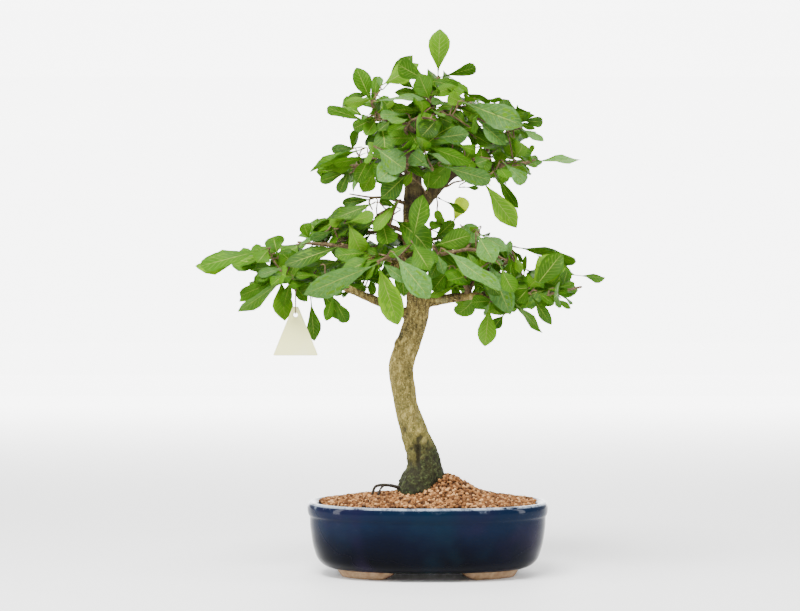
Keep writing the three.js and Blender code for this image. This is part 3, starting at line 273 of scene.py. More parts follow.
# %% Material nodes
class Finish:
    """A new material with one Principled shader, and short ways to put nodes in front of it."""

    def __init__(self, name, roughness, specular=0.5):
        self.material = bpy.data.materials.new(name)
        self.material.use_nodes = True
        self.tree = self.material.node_tree
        self.shader = self.tree.nodes["Principled BSDF"]
        self.set(self.shader, {"Roughness": roughness, "Specular IOR Level": specular})
        self.place = self.tree.nodes.new("ShaderNodeTexCoord").outputs["Object"]

    def set(self, node, values):
        """Each input of the node that is named, linked to a node or set to a plain value."""
        for key, value in values.items():
            socket = node.inputs[key]
            if isinstance(value, bpy.types.NodeSocket):
                self.tree.links.new(value, socket)
            else:
                socket.default_value = value

    def node(self, kind, values=None, **settings):
        made = self.tree.nodes.new("ShaderNode" + kind)
        for key, value in settings.items():
            setattr(made, key, value)
        self.set(made, values or {})
        return made

    def work(self, kind, a, b=0.0):
        """One Math node: kind is its operation, such as MAXIMUM."""
        return self.node("Math", {0: a, 1: b}, operation=kind).outputs[0]

    def plus(self, a, b):
        return self.work("ADD", a, b)

    def minus(self, a, b):
        return self.work("SUBTRACT", a, b)

    def times(self, a, b):
        return self.work("MULTIPLY", a, b)

    def rest(self, share):
        """What a share leaves of 1."""
        return self.work("SUBTRACT", 1.0, share)

    def spots(self, scale, detail=4.0, rough=0.55, at=None):
        """Noise from 0 to 1, with that many spots to the metre."""
        values = {"Vector": at or self.place, "Scale": scale, "Detail": detail, "Roughness": rough}
        return self.node("TexNoise", values).outputs["Fac"]

    def step(self, value, low, high):
        """0 under low and 1 over high, smooth between."""
        values = {"Value": value, "From Min": low, "From Max": high}
        return self.node("MapRange", values, interpolation_type="SMOOTHSTEP").outputs["Result"]

    def mix(self, share, a, b):
        """Colour a where share is 0 and b where it is 1."""
        made = self.node("Mix", data_type="RGBA")
        self.set(made, {0: share, 6: a, 7: b})
        return made.outputs[2]

    def over(self, base, colour, share, most):
        """The base with a colour laid over it, by most where share is 1 and not at all where it is 0."""
        return self.mix(self.times(share, most), base, colour)

    def mottled(self, scale, detail, dark, light):
        """Two colours blended by noise."""
        return self.ramp(self.spots(scale, detail), (0.3, dark), (0.7, light))

    def paint(self, colour):
        """The shader takes this colour as its own."""
        self.set(self.shader, {"Base Color": colour})

    def ramp(self, value, *stops):
        """Colours at places from 0 to 1, blended between."""
        made = self.node("ValToRGB", {"Fac": value})
        elements = made.color_ramp.elements
        while len(elements) < len(stops):
            elements.new(0.5)
        for element, (at, colour) in zip(elements, stops):
            element.position = at
            element.color = colour
        return made.outputs["Color"]

    def stored(self, name):
        """A number kept at the mesh's points."""
        return self.node("Attribute", attribute_name=name).outputs["Fac"]

    def stored_three(self, name):
        """The three numbers of a vector kept at the mesh's points."""
        return self.split(self.node("Attribute", attribute_name=name).outputs["Vector"])

    def split(self, vector):
        """The three numbers of a vector."""
        return self.node("SeparateXYZ", {0: vector}).outputs

    def relief(self, height, depth, strength=1.0):
        """Height from 0 to 1 as a bump of depth millimetres."""
        values = {"Height": height, "Distance": depth * MM, "Strength": strength}
        self.set(self.shader, {"Normal": self.node("Bump", values).outputs["Normal"]})


def rgb(red, green, blue):
    return (red, green, blue, 1.0)

# %% [markdown]
# ## The pot
#
# A cast stoneware pot is oval but a little squarer than an ellipse, and its wall leans out to a rolled
# rim. One closed profile, from the middle of the underside up the outside, over the rim and down to the
# middle of the floor, is carried round that oval. Two holes are then cut through the floor, and the four
# low feet are bands that follow the oval round its corners.

# %% The pot's shape
POT_HALF_LENGTH, POT_HALF_DEPTH, OVAL_POWER = 155.0, 116.0, 2.35
UNDERSIDE = 9.5
DRAIN_X, DRAIN_RADIUS = 62.0, 9.0
# How far in from the outline, and how high
POT_PROFILE = [(116, 9.6), (80, 9.5), (38, 9.5), (30, 9.9), (23.8, 11.4), (17.6, 15.5), (12.5, 22),
    (9.2, 31), (6.8, 40), (4.9, 51), (3.4, 62), (3.0, 70), (2.9, 73.6), (2.3, 75.6), (1.3, 77.2),
    (0.5, 79.6), (0.1, 84), (0.5, 89), (2.4, 92.4), (5, 93.5), (8.2, 93.3), (10.6, 91.6), (13.2, 88),
    (15, 70), (17, 46), (22, 27), (30, 19.3), (45, 19), (80, 19), (116, 19)]
# The same across a foot, with its height as a share of the way up to the underside
FOOT_SECTION = [(31, 1), (33.5, 0.35), (35.5, 0.06), (38, 0), (48, 0), (50.5, 0.06), (52.5, 0.35), (54, 1)]
FOOT_HALF_ANGLE = 0.46


def oval(angle, inset, height):
    """Points on an oval |x/a|^p + |y/b|^p = 1 drawn in by inset, at that height."""
    angle, inset, height = np.broadcast_arrays(angle, inset, height)
    x = (POT_HALF_LENGTH - inset) * np.sign(np.cos(angle)) * np.abs(np.cos(angle)) ** (2 / OVAL_POWER)
    y = (POT_HALF_DEPTH - inset) * np.sign(np.sin(angle)) * np.abs(np.sin(angle)) ** (2 / OVAL_POWER)
    return np.stack([x, y, height], axis=-1)


def even_angles(count):
    """Angles that step evenly along the pot's outline, where even steps of angle would crowd its corners."""
    fine = np.linspace(0, 2 * np.pi, 4001)
    outline = oval(fine, 0.0, 0.0)
    length = np.append(0, np.cumsum(np.linalg.norm(np.diff(outline, axis=0), axis=1)))
    return np.interp(np.linspace(0, length[-1], count, endpoint=False), length, fine)


profile = np.array(POT_PROFILE)
profile = on_curve(profile, np.linspace(0, 1, 4 * len(profile)))
profile[:, 0] = np.clip(profile[:, 0], 0, POT_HALF_DEPTH - 0.5)
round_pot = even_angles(180)[None, :]
rings = oval(round_pot, profile[:, :1], profile[:, 1:])
throwing = noise(rings * np.array([1, 1, 2.5]), 46, 3) * 0.35 + noise(rings, 17, 4) * 0.12
rings[..., :2] *= (1 - np.maximum(throwing, 0) / 150)[..., None]
pot_body = tube(rings)


def foot(middle):
    """One foot: a band with rounded edges whose ends sweep up to the underside."""
    share = np.linspace(-1, 1, 31)[:, None]
    low = UNDERSIDE * np.clip((np.abs(share) - 0.67) / 0.33, 0, 1) ** 1.6
    inset, rise = np.array(FOOT_SECTION).T
    height = low + (UNDERSIDE + 2 - low) * rise
    return tube(oval(middle + FOOT_HALF_ANGLE * share, inset, height)[:, ::-1])


feet = [foot(quarter * math.pi) for quarter in (0.25, 0.75, 1.25, 1.75)]

# %% [markdown]
# The glaze is a deep navy that pools nearly black towards the foot, with faint drifts of violet and teal.
# It thins only along the top of the rolled rim, where a narrow pale grey line breaks through in places; that
# line is partly a painted highlight of the light from above. It is very glossy. The feet were wiped clean of
# glaze before firing and show the dull tan clay.

# %% Glaze and bare clay
glaze = Finish("navy_glaze", 0.07, specular=0.05)
height = glaze.split(glaze.place)[2]
# Painted shade: the glaze is painted darker towards the foot, nearly black there.
down = glaze.step(height, 0.010, 0.088)
drift = glaze.spots(11, 4)
shade_and_drift = glaze.plus(down, glaze.times(glaze.minus(drift, 0.5), 0.9))
body = glaze.ramp(shade_and_drift, (0.0, rgb(0.0002, 0.0005, 0.002)), (0.5, rgb(0.0008, 0.0022, 0.009)),
    (1.0, rgb(0.0024, 0.0075, 0.022)))
moved = glaze.node("Mapping", {0: glaze.place, 1: (3, 7, 1)}).outputs[0]  # so that the drifts differ
tinge = glaze.step(glaze.spots(13, 2, at=moved), 0.50, 0.74)
body = glaze.over(body, rgb(0.010, 0.005, 0.022), tinge, 0.5)
moved = glaze.node("Mapping", {0: glaze.place, 1: (11, 2, 5)}).outputs[0]
teal = glaze.step(glaze.spots(10, 3, at=moved), 0.54, 0.72)
body = glaze.over(body, rgb(0.0015, 0.014, 0.024), teal, 0.35)
# The pale line on top of the rim: partly glaze worn thin, partly a painted highlight of the light from above.
milky = glaze.spots(60, 6, 0.7)
top = glaze.times(glaze.step(height, 0.0902, 0.0926), glaze.step(milky, 0.34, 0.56))
lip = glaze.times(glaze.step(height, 0.0850, 0.0905), glaze.step(milky, 0.52, 0.74))
worn_glaze_and_highlight = glaze.work("MAXIMUM", glaze.times(lip, 0.30), glaze.times(top, 0.85))
glaze.paint(glaze.mix(worn_glaze_and_highlight, body, rgb(0.33, 0.38, 0.46)))
glaze.relief(glaze.spots(55, 3), 0.35, 0.35)

clay = Finish("bare_tan_clay", 0.85)
clay.paint(clay.mottled(160, 6, rgb(0.20, 0.115, 0.055), rgb(0.36, 0.235, 0.130)))
clay.relief(clay.spots(900, 5), 0.25, 0.6)

# %% The pot's mesh
pot_surface = gathered([pot_body, *feet])
bare = np.arange(len(pot_surface.faces)) >= len(pot_body.faces)
pot = piece("pot_body_and_feet", pot_surface, [glaze.material, clay.material], bare)
for x in (-DRAIN_X, DRAIN_X):
    middle = placed((x, 0, 15))
    bpy.ops.mesh.primitive_cylinder_add(vertices=48, radius=DRAIN_RADIUS * MM, depth=0.03, location=middle)
    drill = bpy.context.object
    cut = pot.modifiers.new("drain", "BOOLEAN")
    cut.object, cut.operation, cut.solver = drill, "DIFFERENCE", "EXACT"
    bpy.context.view_layer.objects.active = pot
    with bpy.context.temp_override(object=pot):
        bpy.ops.object.modifier_apply(modifier="drain")
    bpy.data.objects.remove(drill)
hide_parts("pot")
print("pot after its drain holes:", len(pot.data.polygons), "faces")

# %% [markdown]
# ## The drainage screens
#
# A square of plastic net lies over each hole and keeps the soil in. The CAD nodes already have the right
# shape, so they only get a finish: dull black-green polythene with a fine moulded grain.

# %% Screens
net = Finish("black_polythene", 0.6)
net.paint(net.mottled(400, 3, rgb(0.010, 0.012, 0.010), rgb(0.022, 0.027, 0.020)))
net.relief(net.spots(2500, 2), 0.05, 0.5)
for name in ("screen_left", "screen_right"):
    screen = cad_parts[name]
    screen.data.materials.clear()
    screen.data.materials.append(net.material)

# %% [markdown]
# ## The soil
#
# Bonsai grow in granules of baked clay, 4 to 5 mm across, heaped here against the right of the trunk.
# Under the loose top layer lies one closed bed that fills the pot, painted near-black brown as the shade
# in the gaps between granules. On it, one rounded granule is repeated a few thousand times on a jittered
# grid, each turned, stretched and dented by its own random numbers.

# %% The soil's bed
def soil_height(x, y):
    """A low dome, with a smooth heap against the right of the trunk."""
    dome = (x / POT_HALF_LENGTH) ** 2 + (y / POT_HALF_DEPTH) ** 2
    return 103 - 13 * dome + 23 * np.exp(-(((x - 25.5) / 34) ** 2) - ((y - 8) / 40) ** 2)


LID_INSET, MIDDLE_INSET = 14.3, 115
SOIL_WALL = [(MIDDLE_INSET, 22), (60, 22), (31, 22), (23, 27), (18, 46), (15.8, 70), (LID_INSET, 84)]
wall = oval(round_pot, *(np.array(SOIL_WALL).T[..., None]))
share = np.linspace(0, 1, 24)[1:, None] ** 0.8
lid = oval(round_pot, LID_INSET + share * (MIDDLE_INSET - LID_INSET), 0.0)
lid[..., 2] = soil_height(lid[..., 0], lid[..., 1]) - 1.6 + 0.8 * noise(lid, 5, 11)
bed = tube(np.concatenate([wall, lid]))

# %% The soil's granules
rng = np.random.default_rng(7)
SPACING, GRAIN_INSET = 4.05, 16.6
ROOTS_X, ROOTS_Y, ROOTS_REACH = -9, 2, 25
across, deep = np.meshgrid(np.arange(-38, 39), np.arange(-33, 34))
spots = np.stack([(across + 0.5 * (deep % 2)) * SPACING, deep * SPACING * 0.866], axis=-1).reshape(-1, 2)
spots = spots + rng.uniform(-0.9, 0.9, spots.shape)
in_oval = (np.abs(spots[:, 0]) / (POT_HALF_LENGTH - GRAIN_INSET)) ** OVAL_POWER
in_oval = in_oval + (np.abs(spots[:, 1]) / (POT_HALF_DEPTH - GRAIN_INSET)) ** OVAL_POWER
outside_trunk = np.hypot(spots[:, 0] - ROOTS_X, spots[:, 1] - ROOTS_Y) > ROOTS_REACH
spots = spots[(in_oval < 1) & outside_trunk]
GRAIN_COLUMNS, GRAIN_ROWS = 6, 3
tilts = np.linspace(0, np.pi, GRAIN_ROWS + 2)[1:-1]
turns = 2 * np.pi * np.arange(GRAIN_COLUMNS) / GRAIN_COLUMNS
tilt, turn = np.meshgrid(tilts, turns, indexing="ij")
ball = np.stack([np.sin(tilt) * np.cos(turn), np.sin(tilt) * np.sin(turn), -np.cos(tilt)], axis=-1)
grain = tube(ball)
grain.points[-2:] = [(0, 0, -1), (0, 0, 1)]
count = len(spots)
quaternions = rng.normal(size=(count, 4))
w, x, y, z = unit(quaternions).T
turned = np.array([[1 - 2 * (y * y + z * z), 2 * (x * y - z * w), 2 * (x * z + y * w)],
    [2 * (x * y + z * w), 1 - 2 * (x * x + z * z), 2 * (y * z - x * w)],
    [2 * (x * z - y * w), 2 * (y * z + x * w), 1 - 2 * (x * x + y * y)]]).transpose(2, 0, 1)
size = rng.uniform(1.75, 2.75, (count, 1, 1)) * rng.uniform(0.82, 1.12, (count, 1, 3))
dent = 1 + 0.16 * noise(grain.points[None] * 1.1 + rng.uniform(0, 900, (count, 1, 3)), 1.0, 5)
grains = np.einsum("nij,nkj->nki", turned, grain.points[None] * size * dent[..., None])
middle = np.concatenate([spots, soil_height(spots[:, 0], spots[:, 1])[:, None]], axis=1)
middle[:, 2] += rng.uniform(-1.2, 1.4, count)
grains += middle[:, None]
tone = np.repeat(rng.uniform(0, 1, count), len(grain.points))
grain_faces = (grain.faces[None] + (np.arange(count) * len(grain.points))[:, None, None]).reshape(-1, 4)
# Painted shade: the bed between the granules is painted near-black brown, as the shade in the gaps.
bed.values["grain_tone_and_gap_shade"] = np.full((len(bed.points), 1), 0.05)
soil_surface = gathered([bed, Surface(grains.reshape(-1, 3), grain_faces, grain_tone_and_gap_shade=tone)])

# %% [markdown]
# Baked clay is dull and dusty. Each granule keeps one random number, which picks its colour between a
# reddish tan and a dark orange-brown, and a fine grain roughens it. The bed under them keeps a low number,
# which paints it near-black brown as the shade in the gaps between them.

# %% Baked clay
baked = Finish("baked_clay_granules", 0.92, specular=0.2)
shade = baked.ramp(baked.stored("grain_tone_and_gap_shade"), (0.0, rgb(0.022, 0.007, 0.002)),
    (0.30, rgb(0.095, 0.033, 0.009)), (0.70, rgb(0.245, 0.102, 0.030)), (1.0, rgb(0.55, 0.30, 0.125)))
dust = baked.step(baked.spots(420, 5), 0.45, 0.8)
baked.paint(baked.over(shade, rgb(0.44, 0.24, 0.10), dust, 0.40))
baked.relief(baked.spots(1800, 4), 0.3, 0.7)
soil = piece("soil_granules", soil_surface, [baked.material], sharp=80)
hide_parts("soil")

# %% [markdown]
# ## The wood
#
# The trunk leans left out of the soil, bends back to the right at a third of its height and rises to the
# fork. It and its thick limbs are separate skins first. A Remesh modifier then melts them into one skin
# on a fine grid, and a Smooth modifier rounds the crotches as growing bark does. Thin twigs would vanish
# in that grid, so they stay skins of their own, rooted in the wood.

# %% The wood's layout
# Along the trunk: x, y, z and the radius
TRUNK_ROWS = [(-8, 2, 62, 24), (-9, 2, 86, 29), (-9, 2, 103, 33), (-8, 2, 115, 30), (-5, 1, 129, 25),
    (-5, 0, 143, 21.5), (-9, -1, 158, 19.6), (-20.4, -3, 194, 17), (-26.4, -3, 214, 15.8),
    (-33.4, -1, 256, 15.3), (-32.4, 1, 276, 15.5), (-26.4, 3, 294, 15.6), (-14.4, 3, 330, 16.2),
    (-12.4, 2, 350, 15.2), (-15, 2, 376, 13.6), (-19, 3, 406, 13.2), (-20, 4, 468, 12.4),
    (-18, 3, 496, 11.4), (-19, 1, 526, 10.2), (-24, 0, 552, 9), (-31, -1, 576, 7)]
# Each limb: its radius at both ends, and its points
LIMBS = {
    "low right": ((7.5, 4), [(-10, 0, 346), (16, -4, 352), (36, -8, 355), (58, -12, 357), (82, -16, 354)]),
    "spur": ((4, 2.2), [(50, -11, 356), (51, -11, 366), (45, -13, 375), (38, -15, 378)]),
    "front right": ((5, 3), [(-16, -2, 402), (-2, -14, 404), (10, -24, 409)]),
    "high right": ((10, 4.6), [(-18, 3, 462), (2, 4, 486), (18, 4, 504), (34, 2, 517), (50, 0, 522),
        (72, -2, 523)]),
    "low left": ((7, 4), [(-14, 2, 326), (-36, -2, 338), (-59, -6, 348), (-82, -12, 358), (-106, -18, 368),
        (-130, -22, 375)]),
    "middle left": ((7, 4.4), [(-17, 4, 402), (-36, -2, 405), (-57, -8, 408), (-78, -14, 409),
        (-102, -20, 420)]),
    "high left": ((6, 3.4), [(-18, 3, 502), (-38, -4, 512), (-60, -10, 520)]),
    "front low": ((6, 4), [(-18, 0, 394), (-24, -16, 399), (-32, -30, 403)]),
    "front high": ((5, 3.2), [(-19, 0, 500), (-20, -14, 510), (-24, -28, 517)]),
    "back low": ((7, 4), [(-15, 4, 388), (-10, 26, 398), (2, 50, 408)]),
    "back left": ((6, 3.6), [(-20, 5, 426), (-34, 22, 434), (-52, 42, 441)]),
    "back high": ((5.6, 3.4), [(-19, 4, 496), (-14, 24, 509), (-14, 44, 519)]),
    "leader": ((8, 3), [(-27, 0, 556), (-17, 2, 576), (-5, 3, 593), (3, 4, 610), (8, 4, 624)]),
    "top left": ((5, 3), [(-29, -1, 568), (-40, -3, 580), (-54, -6, 585)]),
    "dead twig": ((2.6, 0.9), [(-22, 2, 474), (-46, -8, 482), (-60, -11, 484), (-74, -13, 484),
        (-100, -15, 488)]),
    "dead prong": ((1.3, 0.9), [(-73, -13, 484), (-75, -14, 477), (-71, -14, 468)]),
    "bare twig": ((2, 0.9), [(14, 4, 500), (24, -8, 498), (34, -14, 503), (46, -18, 505)]),
    "cut scar": ((7, 6), [(-18, -4, 398), (-38, -12, 396), (-44, -15, 396)]),
    "surface root": ((2.4, 1.3), [(-34, -6, 110), (-50, -9, 114), (-66, -11, 113), (-71, -12, 103),
        (-72, -12, 94)]),
    "root fork": ((1.5, 1.1), [(-56, -10, 114), (-61, -16, 109), (-64, -19, 98)]),
}


# %% Skins of the trunk and the limbs
def trunk_radius(rows, angle):
    """Radius round the trunk: lobes that run out into roots near the soil, faint ripples higher up."""
    z = rows[:, 2:3]
    root = bump(z, 106, 26)
    lobe = 0.16 * root * np.sin(3 * angle + 0.9) + 0.05 * root * np.sin(5 * angle)
    ripple = 0.035 * np.sin(2 * angle + z / 19) + 0.03 * np.sin(3 * angle - z / 27)
    return rows[:, 3:4] * (1 + lobe + ripple)


def limb_skin(path, thick, columns, per_stretch=6, knobby=0.06):
    """A round limb along a smooth path, its radius falling evenly, with knobs where buds were."""
    steps = per_stretch * (len(path) - 1) + 1
    t = np.linspace(0, 1, steps)
    line = on_curve(path, t)
    radius = thick[0] + (thick[1] - thick[0]) * t
    radius = radius * (1 + knobby * noise(line, 7, 21) + knobby * np.abs(np.sin(t * steps * 0.9)) ** 6)
    radius = np.repeat(radius[:, None], columns, axis=1)
    rings = rings_along(line, radius)
    close = rings[-1].mean(axis=0) + unit(line[-1] - line[-2]) * thick[1] * 0.6
    cap = close + (rings[-1] - rings[-1].mean(axis=0)) * 0.6
    return np.concatenate([rings, cap[None]])


trunk_rows = on_curve(TRUNK_ROWS, np.linspace(0, 1, 6 * len(TRUNK_ROWS)))
angle = 2 * np.pi * np.arange(48)[None] / 48
thick_wood = [tube(rings_along(trunk_rows[:, :3], trunk_radius(trunk_rows, angle)))]
thin_wood = []
LEAST_MELTED, MELT_GRID = 2.6, 1.5
for thick, path in LIMBS.values():
    skin = tube(limb_skin(path, thick, 16 if thick[0] > 3 else 10))
    (thick_wood if thick[1] >= LEAST_MELTED else thin_wood).append(skin)
rough_wood = piece("wood", gathered(thick_wood), [])
melt = rough_wood.modifiers.new("melt", "REMESH")
melt.mode, melt.voxel_size = "VOXEL", MELT_GRID * MM
round_off = rough_wood.modifiers.new("round_off", "SMOOTH")
round_off.factor, round_off.iterations = 0.5, 5
graph = bpy.context.evaluated_depsgraph_get()
melted = bpy.data.meshes.new_from_object(rough_wood.evaluated_get(graph))
melted_points = np.empty(3 * len(melted.vertices))
melted.vertices.foreach_get("co", melted_points)
melted_normals = np.empty(3 * len(melted.vertices))
melted.vertices.foreach_get("normal", melted_normals)
corners = np.empty(len(melted.loops), np.int64)
melted.loops.foreach_get("vertex_index", corners)
melted_points = (melted_points.reshape(-1, 3) - layout_origin) / MM
melted_normals = melted_normals.reshape(-1, 3)
print("melted wood:", len(melted_points), "points,", len(melted.polygons), "faces,", len(corners), "corners")
bpy.data.objects.remove(rough_wood)

# %% [markdown]
# Bark relief is the wood pushed in and out along its own normals: broad swellings, upright fissures where
# the noise is stretched along the trunk, round knots where branches were cut, and one cleft above the
# roots. The same number is kept at each point, so that painted shade darkens the colour where the bark is
# deep.

# %% Bark relief
# Each knot: x, y, z and its radius. The cleft: x, z, half its width and half its height
KNOTS = [(-39, -4, 298, 4.5), (-11, -9, 291, 5), (-30, -14, 240, 3.6), (-8, -12, 372, 4),
    (-28, -11, 452, 3.4), (-4, -14, 172, 4), (8, 12, 214, 4)]
CLEFT = (-12, 153, 2.6, 15)


def bark_depth(points, normals):
    """Millimetres in (below 0) or out at points of the bark."""
    stretched = points * np.array([1, 1, 0.28])
    rough = 0.45 + 0.55 * np.clip(bump(points[:, 2], 495, 60) + bump(points[:, 2], 130, 34), 0, 1)
    fissure = -np.clip(0.42 - np.abs(noise(stretched, 5.5, 31)), 0, 1) * 1.5 * rough
    swell = 0.9 * noise(points, 17, 32) + 0.35 * noise(points, 6, 33) + 0.16 * noise(points, 2.6, 34)
    depth = swell * (0.7 + 0.3 * rough) + fissure
    moss = np.clip((205 - points[:, 2]) / 30, 0, 1)
    cracks = 1.5 * np.clip(0.3 - np.abs(noise(stretched, 11, 38)), 0, 1)
    depth += moss * (1.1 * noise(points, 7, 36) + 0.7 * noise(points, 3.2, 37) - cracks)
    for x, y, z, size in KNOTS:
        away = np.linalg.norm(points - np.array([x, y, z]), axis=1)
        depth += 1.8 * bump(away, size, size * 0.45) - 1.6 * bump(away, 0, size * 0.55)
    front = normals[:, 1] < -0.2
    depth -= 4.5 * front * bump(points[:, 0], CLEFT[0], CLEFT[2]) * bump(points[:, 2], CLEFT[1], CLEFT[3])
    return depth


depth = bark_depth(melted_points, melted_normals)
bark_skin = Surface(melted_points + melted_normals * depth[:, None], corners.reshape(-1, 4), bark_depth=depth)
bpy.data.meshes.remove(melted)
for skin in thin_wood:
    skin.values["bark_depth"] = noise(skin.points, 4, 35)[:, None] * 0.6
wood_surface = gathered([bark_skin, *thin_wood])

# %% [markdown]
# The bark is olive-grey to tan and finely speckled. It is greener low down, where it stays damp, and dark
# green-black moss sits on the roots. Higher up, inside the crown, it turns rough, and painted shade darkens
# it nearly to black. Young wood is brown.

# %% Bark
bark = Finish("persimmon_bark", 0.85, specular=0.2)
bark_x, _, bark_z = bark.split(bark.place)
upright = bark.node("Mapping", {0: bark.place, 3: (1, 1, 0.5)}).outputs[0]
broad = bark.times(bark.minus(bark.spots(24, 3), 0.5), 0.55)
grainy = bark.plus(bark.spots(230, 8, 0.78, at=upright), broad)
tan = bark.ramp(grainy, (0.36, rgb(0.028, 0.019, 0.006)),
    (0.46, rgb(0.100, 0.072, 0.020)), (0.56, rgb(0.225, 0.165, 0.046)), (0.68, rgb(0.50, 0.40, 0.135)))
speckle = bark.step(bark.spots(520, 4, 0.65), 0.56, 0.66)
tan = bark.over(tan, rgb(0.56, 0.45, 0.16), speckle, 0.65)
pits = bark.step(bark.spots(420, 3, 0.6, at=upright), 0.42, 0.32)
tan = bark.over(tan, rgb(0.022, 0.016, 0.006), pits, 0.80)
lichen = bark.step(bark.spots(28, 5, 0.6), 0.60, 0.68)
tan = bark.over(tan, rgb(0.20, 0.21, 0.10), lichen, 0.30)
damp = bark.rest(bark.step(bark_z, 0.15, 0.38))
olive = bark.over(tan, rgb(0.105, 0.112, 0.018), damp, 0.40)
# Painted shade: high up, inside the crown, the bark is painted nearly black.
high = bark.step(bark_z, 0.445, 0.495)
bark_with_painted_shade = bark.over(olive, rgb(0.026, 0.017, 0.010), high, 0.80)
ragged = bark.plus(bark_z, bark.times(bark.spots(60, 4), 0.05))
ragged = bark.minus(ragged, bark.times(bark_x, 0.55))
foot_moss = bark.rest(bark.step(ragged, 0.150, 0.200))
moss = bark.ramp(bark.spots(300, 6, 0.7), (0.36, rgb(0.0006, 0.001, 0.0004)),
    (0.50, rgb(0.006, 0.010, 0.003)), (0.64, rgb(0.050, 0.070, 0.024)))
bark_with_painted_shade = bark.over(bark_with_painted_shade, moss, foot_moss, 0.92)
# Painted shade: the colour darkens where the bark is deep.
deep = bark.rest(bark.step(bark.stored("bark_depth"), -1.5, -0.1))
bark_with_painted_shade = bark.over(bark_with_painted_shade, rgb(0.010, 0.008, 0.004), deep, 0.75)
bark.paint(bark_with_painted_shade)
bark.relief(bark.spots(330, 7, 0.72), 1.5, 0.9)

young_bark = Finish("young_twig_bark", 0.7, specular=0.3)
twig_z = young_bark.split(young_bark.place)[2]
twig_tan = young_bark.ramp(young_bark.spots(260, 5, 0.65), (0.32, rgb(0.036, 0.021, 0.009)),
    (0.55, rgb(0.120, 0.076, 0.030)), (0.78, rgb(0.30, 0.22, 0.105)))
soaked = young_bark.rest(young_bark.step(twig_z, 0.15, 0.22))
twig_tan = young_bark.over(twig_tan, rgb(0.010, 0.008, 0.005), soaked, 0.9)
young_bark.paint(twig_tan)
young_bark.relief(young_bark.spots(700, 4), 0.4, 0.7)
wood = piece("trunk_and_bare_limbs", wood_surface, [bark.material, young_bark.material],
    np.arange(len(wood_surface.faces)) >= len(bark_skin.faces), sharp=80)
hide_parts("trunk_and_limbs")
